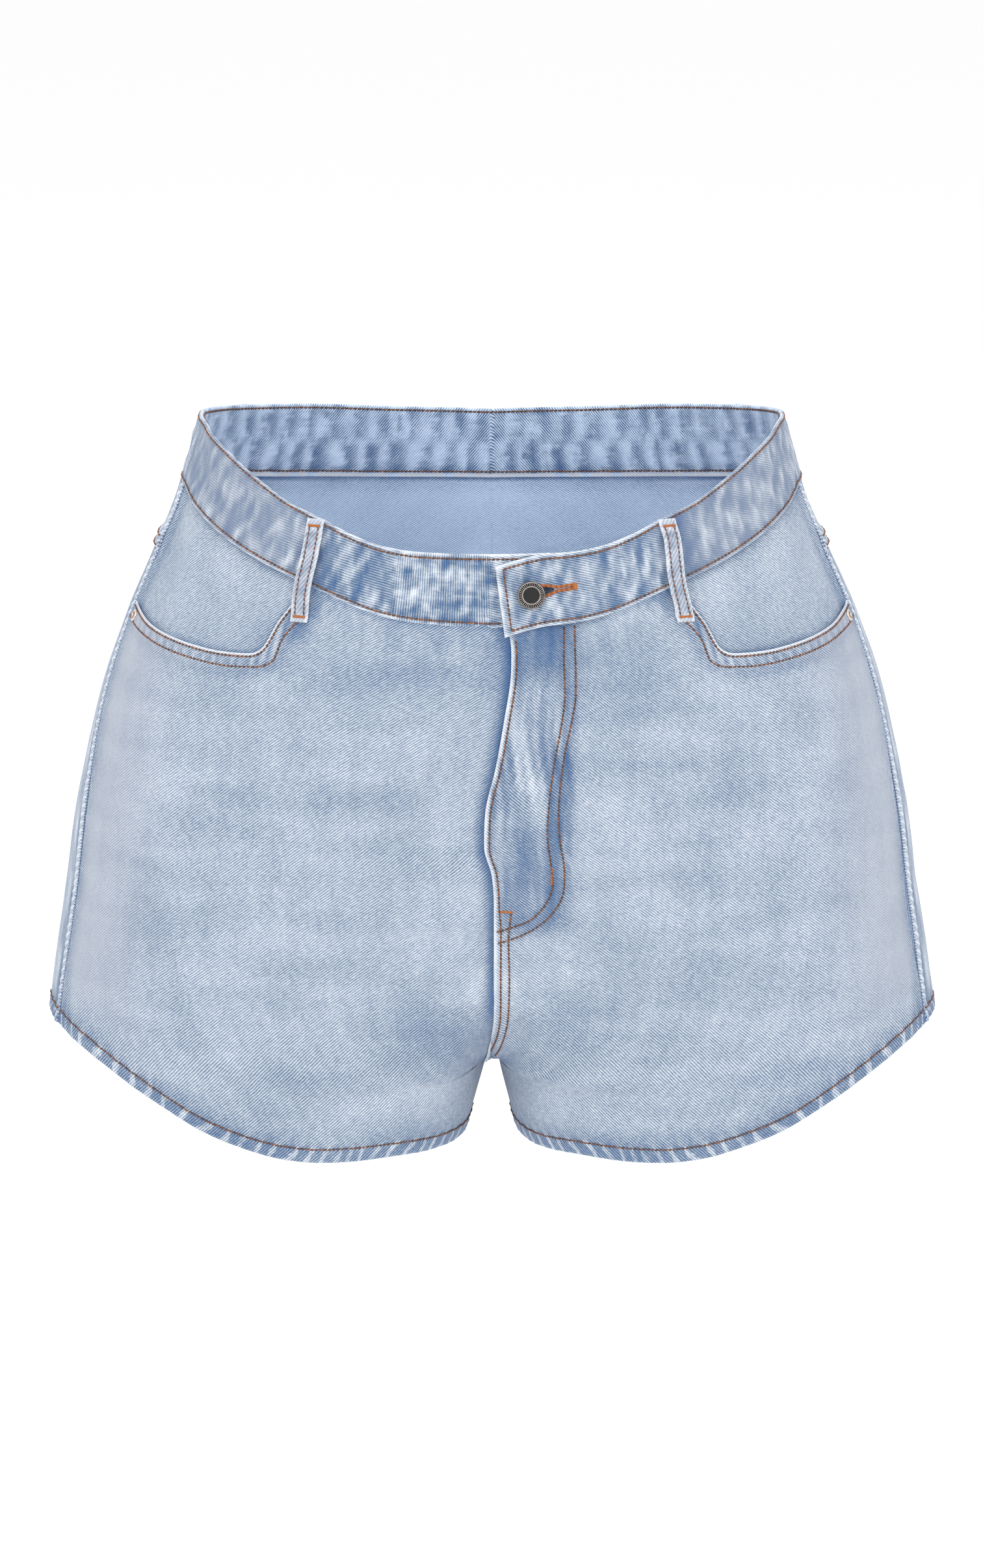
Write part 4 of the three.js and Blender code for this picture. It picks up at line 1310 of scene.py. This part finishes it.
def frontStitches(side):
    rows = Stitches("stitches_front_" + ("left" if side > 0 else "right"))
    # the pocket mouth's rows: the first follows its edge
    line = np.array(mouthLine)
    tangent = unit(np.gradient(line, axis=0))
    beside = np.stack([tangent[:, 1], -tangent[:, 0]], -1)
    for path in (line + beside * panel["pocketRows"][0], np.array(pocketRow)):
        onPanel = path[:, 0] < onGrain(0.999, path[:, 1])
        belowBand = path[:, 1] < waistSeam(path[:, 0] / 260) - 1
        x, z = smoothLine(path[onPanel & belowBand])
        rows.row(*onFront(side, x / frontWidth(z), z))
    u = np.linspace(0.004, 0.998, 420)
    rows.row(*onFront(side, u, hem(u) + panel["hemStitch"]), tone=0.25)
    if side > 0:
        z = spaced(-72, -356, 1)
        x = flyEdge(z) + 3.3 + 1.2 * ease((-236 - z) / 20)
        rows.row(*onFront(side, shareAtFront(side, x, z), z), tone=0.25)
        for path in (innerFly, outerFly, crotchRow):
            x, z = smoothLine(path)
            keep = z < waistSeam(x / 256) - 1.5
            rows.row(*onFront(side, shareAtFront(side, x[keep], z[keep]), z[keep]), tone=0.25)
        for ends in (((37.2, -214.5), (37.0, -225.5)), ((4, -242.4), (13, -242.8))):
            x, z = np.array(ends).T
            points, normals = onFront(side, shareAtFront(side, x, z), z)
            rows.bar(points[0], points[1], normals[0])
    rows.build()


def backStitches(side):
    rows = Stitches("stitches_back_" + ("left" if side > 0 else "right"))
    u = np.linspace(1.003, 1.997, 480)
    for offset in yoke["rows"]:
        rows.row(*onBack(side, u, yokeSeam(u) + offset, yokeProud(offset)))
    rows.row(*onBack(side, u, hem(u) + panel["hemStitch"]), tone=0.25)
    if side > 0:
        z = spaced(-27, -358, 1.2)
        for offset in (1.8, 7.8):
            distance = backArc.total(z) - offset
            share = 2 - offset / backWidth(z)
            for _ in range(5):
                share = np.clip(share + (distance - fromSide(share, z)) / backWidth(z), 1, 2)
            up = z - yokeSeam(share)
            rows.row(*onBack(side, share, z, np.where(up > -yoke["lap"], yokeProud(up), 0)))
    rows.build()


def bandStitches():
    rows = Stitches("stitches_waistband")
    depth, flat, quarter = band["depth"], band["flatDepth"], band["quarter"]

    def along(strip, row):
        point, normal, lift, relief, fold, *_ = bandFace(strip, row)
        return raised(point, normal, lift + relief - fold)

    def inside(strip, row):
        point, normal, lift, relief, fold, *_ = bandFace(strip, row)
        return liftedBy(point, normal, bandInnerLift(row, lift, relief, fold) - 0.12), -normal

    strip = np.linspace(0.02, 4 + band["underlapEnd"] / quarter - 0.012, 1500)
    share = np.minimum(strip, abs(4 - strip))
    rows.row(*along(strip, topRowAt(share) / depth))
    rows.row(*along(strip, np.full(strip.shape, 1 - band["footRow"] / depth)))
    row = np.linspace(0.075, 0.935, 60)
    rows.row(*along(np.full(row.shape, band["endRow"] / quarter), row))
    # the buttonhole's thread: close stitches over both lips, and a bar at its end
    at = np.linspace(0.08, 0.25, 400)
    across = acrossAt(at)
    reach = np.linspace(band["eye"][0] - 2.5, band["slitEnd"] + 0.6, 46)
    strip = np.interp(reach, across, at)
    tone = 0.75 + 0.25 * np.sin(np.arange(len(strip)) * 1.3)
    for direction in (-1, 1):
        near, far = (along(strip, slitLine(reach) + direction * (slitHalf(reach) + off) / flat)
                     for off in (-0.35, 1.75))
        rows.add(near[0], far[0], near[1], 0.45, tone)
    reach = band["slitEnd"] + 1.1
    strip = np.full(2, np.interp(reach, across, at))
    points, normals = along(strip, slitLine(reach) + np.array([-2.1, 2.1]) / flat)
    rows.bar(points[0] + normals[0] * 0.4, points[1] + normals[1] * 0.4, normals[0], 2.4, 0.5)
    # the rows that show inside the back
    strip = np.linspace(0.7, 3.3, 1100)
    for height in (1.9 / depth, 1 - band["innerRow"] / depth):
        rows.row(*inside(strip, np.full(strip.shape, height)), tone=0.15, radius=0.72)
    rows.build()


def loopStitches():
    rows = Stitches("stitches_belt_loops")

    def onLoop(top, foot, edge, t, above=0.12):
        point, normal, lift, fold, *_ = loopFace(top, foot, edge, t)
        return raised(point, normal, lift - fold, above)

    t = np.linspace(0.08, 0.93, 50)
    inset = 1 - loops["rowInset"] / (loops["width"] / 2)
    for _, top, foot in loops["places"]:
        for edge in (-inset, inset):
            rows.row(*onLoop(top, foot, np.full(t.shape, edge), t), radius=0.44)
        for end in (0.07, 0.945):
            edges = np.array([-0.72, 0.72])
            points, normals = onLoop(top, foot, edges, np.full(2, end), 0.3)
            rows.bar(points[0], points[1], normals.mean(0))
    rows.build()


for side in (1, -1):
    frontStitches(side)
    backStitches(side)
bandStitches()
loopStitches()
print("stitches ready")


# A turned metal piece on the cloth, from rings of radius, height and wear
def metalPiece(name, point, normal, profile, segments, slotName, material, relief=None):
    level = unit(np.cross([0, 0, 1], normal))
    up = np.cross(normal, level)
    profile = np.array(profile, float)
    angle = np.arange(segments) * 2 * np.pi / segments
    radius, height, wear = (profile[:, k:k + 1] + 0 * angle for k in range(3))
    if relief is not None:
        height, wear = relief(radius, height, wear, angle)
    ring = np.cos(angle)[:, None] * level + np.sin(angle)[:, None] * up
    points = point + radius[..., None] * ring[None] + height[..., None] * normal
    index = np.arange(points.shape[0] * segments).reshape(-1, segments)
    following = np.roll(index, -1, axis=1)
    faces = quads(index[:-1], following[:-1], following[1:], index[1:])
    piece = toMesh("metal_" + name, points.reshape(-1, 3), faces, None, {"wear": wear})
    place(piece, [name], slotName, material)


button = {
    "radius": 8.5,
    "across": 23.9,
    "height": -44.6,
    "ribs": 40,
    "disc": 5.0,
}


def waistButton():
    point, normal = frontAt(np.array([button["across"]]), np.array([button["height"]]))
    base = band["proud"] + 0.35
    seat = band["proud"] + band["tabLift"] + 0.55
    r, disc = button["radius"], button["disc"]
    profile = [
        (0.05, base, 0), (2.2, base, 0), (2.2, seat, 0), (r - 1.2, seat, 0),
        (r - 0.3, seat + 0.35, 0.3), (r, seat + 1.0, 0.1), (r - 0.15, seat + 1.6, 0.3),
        (r - 0.6, seat + 2.05, 0.3), (r - 1.2, seat + 2.1, -0.1), (r - 2.0, seat + 2.05, -0.1),
        (r - 2.7, seat + 1.95, -0.1), (disc + 0.35, seat + 2.15, 0.6),
        (disc + 0.1, seat + 2.15, 0.5), (disc - 0.05, seat + 1.7, -1),
        (disc - 0.6, seat + 1.65, -1), (disc * 0.5, seat + 1.8, -1), (0.05, seat + 1.85, -1),
    ]

    def ribs(radius, height, wear, angle):
        on = (radius > disc + 0.6) & (radius < r - 0.7) & (height > seat + 1.5)
        wave = np.sin(button["ribs"] * angle)[None]
        return height + np.where(on, 0.16 * wave, 0), wear + np.where(on, 0.55 * wave, 0)

    metalPiece("waist_button", point[0], normal[0], profile, 264, "button_metal", buttonMetal, ribs)


rivets = {
    "radius": 3.9,
    "height": 1.3,
    # share of the rivet's radius and height, and wear, from its edge to its middle
    "profile": [
        (0.93, 0.55, 0.6), (0.8, 0.7, 0.7), (0.66, 0.72, 0.4), (0.55, 0.62, -0.2),
        (0.42, 0.62, -0.3), (0.36, 0.9, 0.3), (0.2, 1, 0.6),
    ],
    "places": [
        ("rivet_inner_left", 0.455, -50.5), ("rivet_inner_right", -0.455, -50.5),
        ("rivet_outer_left", 0.955, -80.5), ("rivet_outer_right", -0.955, -80.5),
    ],
}


def rivet(name, u, z):
    u, z = np.array([u]), np.array([z])
    point, normal = clothAt(u, z)
    _, _, lift, *_ = frontFace(np.sign(u[0]), abs(u), z)
    seat = 0.35 + max(0, float(lift[0]) - 0.3)
    r, h = rivets["radius"], rivets["height"]
    profile = [(0.05, seat, 0), (r, seat, 0.2), (r + 0.05, seat + 0.25 * h, 0.4)]
    profile += [(r * out, seat + h * up, wear) for out, up, wear in rivets["profile"]]
    profile += [(0.05, seat + 1.02 * h, 0.6)]
    metalPiece(name, point[0], normal[0], profile, 48, "rivet_metal", rivetMetal)


waistButton()
for name, u, z in rivets["places"]:
    rivet(name, u, z)
print("metal ready")


# Floor, light and camera

studio = {
    "target": (0, 0, -0.2),
    "distance": 2.62,
    "elevation": 16.5,
    "focalPixels": 6250,
    "framePixels": (1512, 2411),
    "sensor": 36,
    "floor": -0.78,
    "floorReach": 14,
    "world": 1.0,
    "aim": (0, 0, -0.22),
    # name, place, size, power
    "lights": [
        ("softbox_left", (-1.9, -1.9, 1.7), 2.0, 20),
        ("softbox_right", (1.9, -1.9, 1.7), 2.0, 20),
        ("softbox_top", (0, -1.0, 2.4), 1.6, 12),
        ("softbox_back", (0, 2.6, 1.5), 2.2, 24),
    ],
}


def addLight(name, location, size, power):
    light = bpy.data.lights.new(name, "AREA")
    light.shape = "DISK"
    light.size = size
    light.energy = power
    lamp = bpy.data.objects.new(name, light)
    lamp.location = location
    direction = Vector(np.array(studio["aim"]) - np.array(location))
    lamp.rotation_euler = direction.to_track_quat("-Z", "Y").to_euler()
    bpy.context.collection.objects.link(lamp)


def addFloor():
    reach, level = studio["floorReach"], studio["floor"]
    corners = [(x * reach, y * reach, level) for x, y in ((-1, -1), (1, -1), (1, 1), (-1, 1))]
    floor = toMesh("floor", np.array(corners) * 1000, np.array([[0, 1, 2, 3]]))
    material, start, shader = startMaterial("pale_floor")
    connect(start, shader, colour=(0.98, 0.98, 0.98, 1), roughness=0.9)
    floor.data.materials.append(material)


def addCamera():
    camera = bpy.data.cameras.new("camera")
    camera.sensor_width = studio["sensor"]
    camera.lens = studio["sensor"] * studio["focalPixels"] / max(studio["framePixels"])
    camera.clip_start, camera.clip_end = 0.05, 60
    eye = bpy.data.objects.new("camera", camera)
    tilt = math.radians(studio["elevation"])
    x, y, z = studio["target"]
    back, up = studio["distance"] * math.cos(tilt), studio["distance"] * math.sin(tilt)
    eye.location = (x, y - back, z + up)
    eye.rotation_euler = (math.radians(90 - studio["elevation"]), 0, 0)
    bpy.context.collection.objects.link(eye)
    bpy.context.scene.camera = eye


def addStudio():
    addFloor()
    world = bpy.data.worlds.new("studio")
    world.use_nodes = True
    background = world.node_tree.nodes["Background"]
    background.inputs["Color"].default_value = (1, 1, 1, 1)
    background.inputs["Strength"].default_value = studio["world"]
    bpy.context.scene.world = world
    for light in studio["lights"]:
        addLight(*light)
    addCamera()
    bpy.context.scene.view_settings.view_transform = "Standard"
    bpy.context.scene.view_settings.look = "None"


addStudio()
print("studio ready")
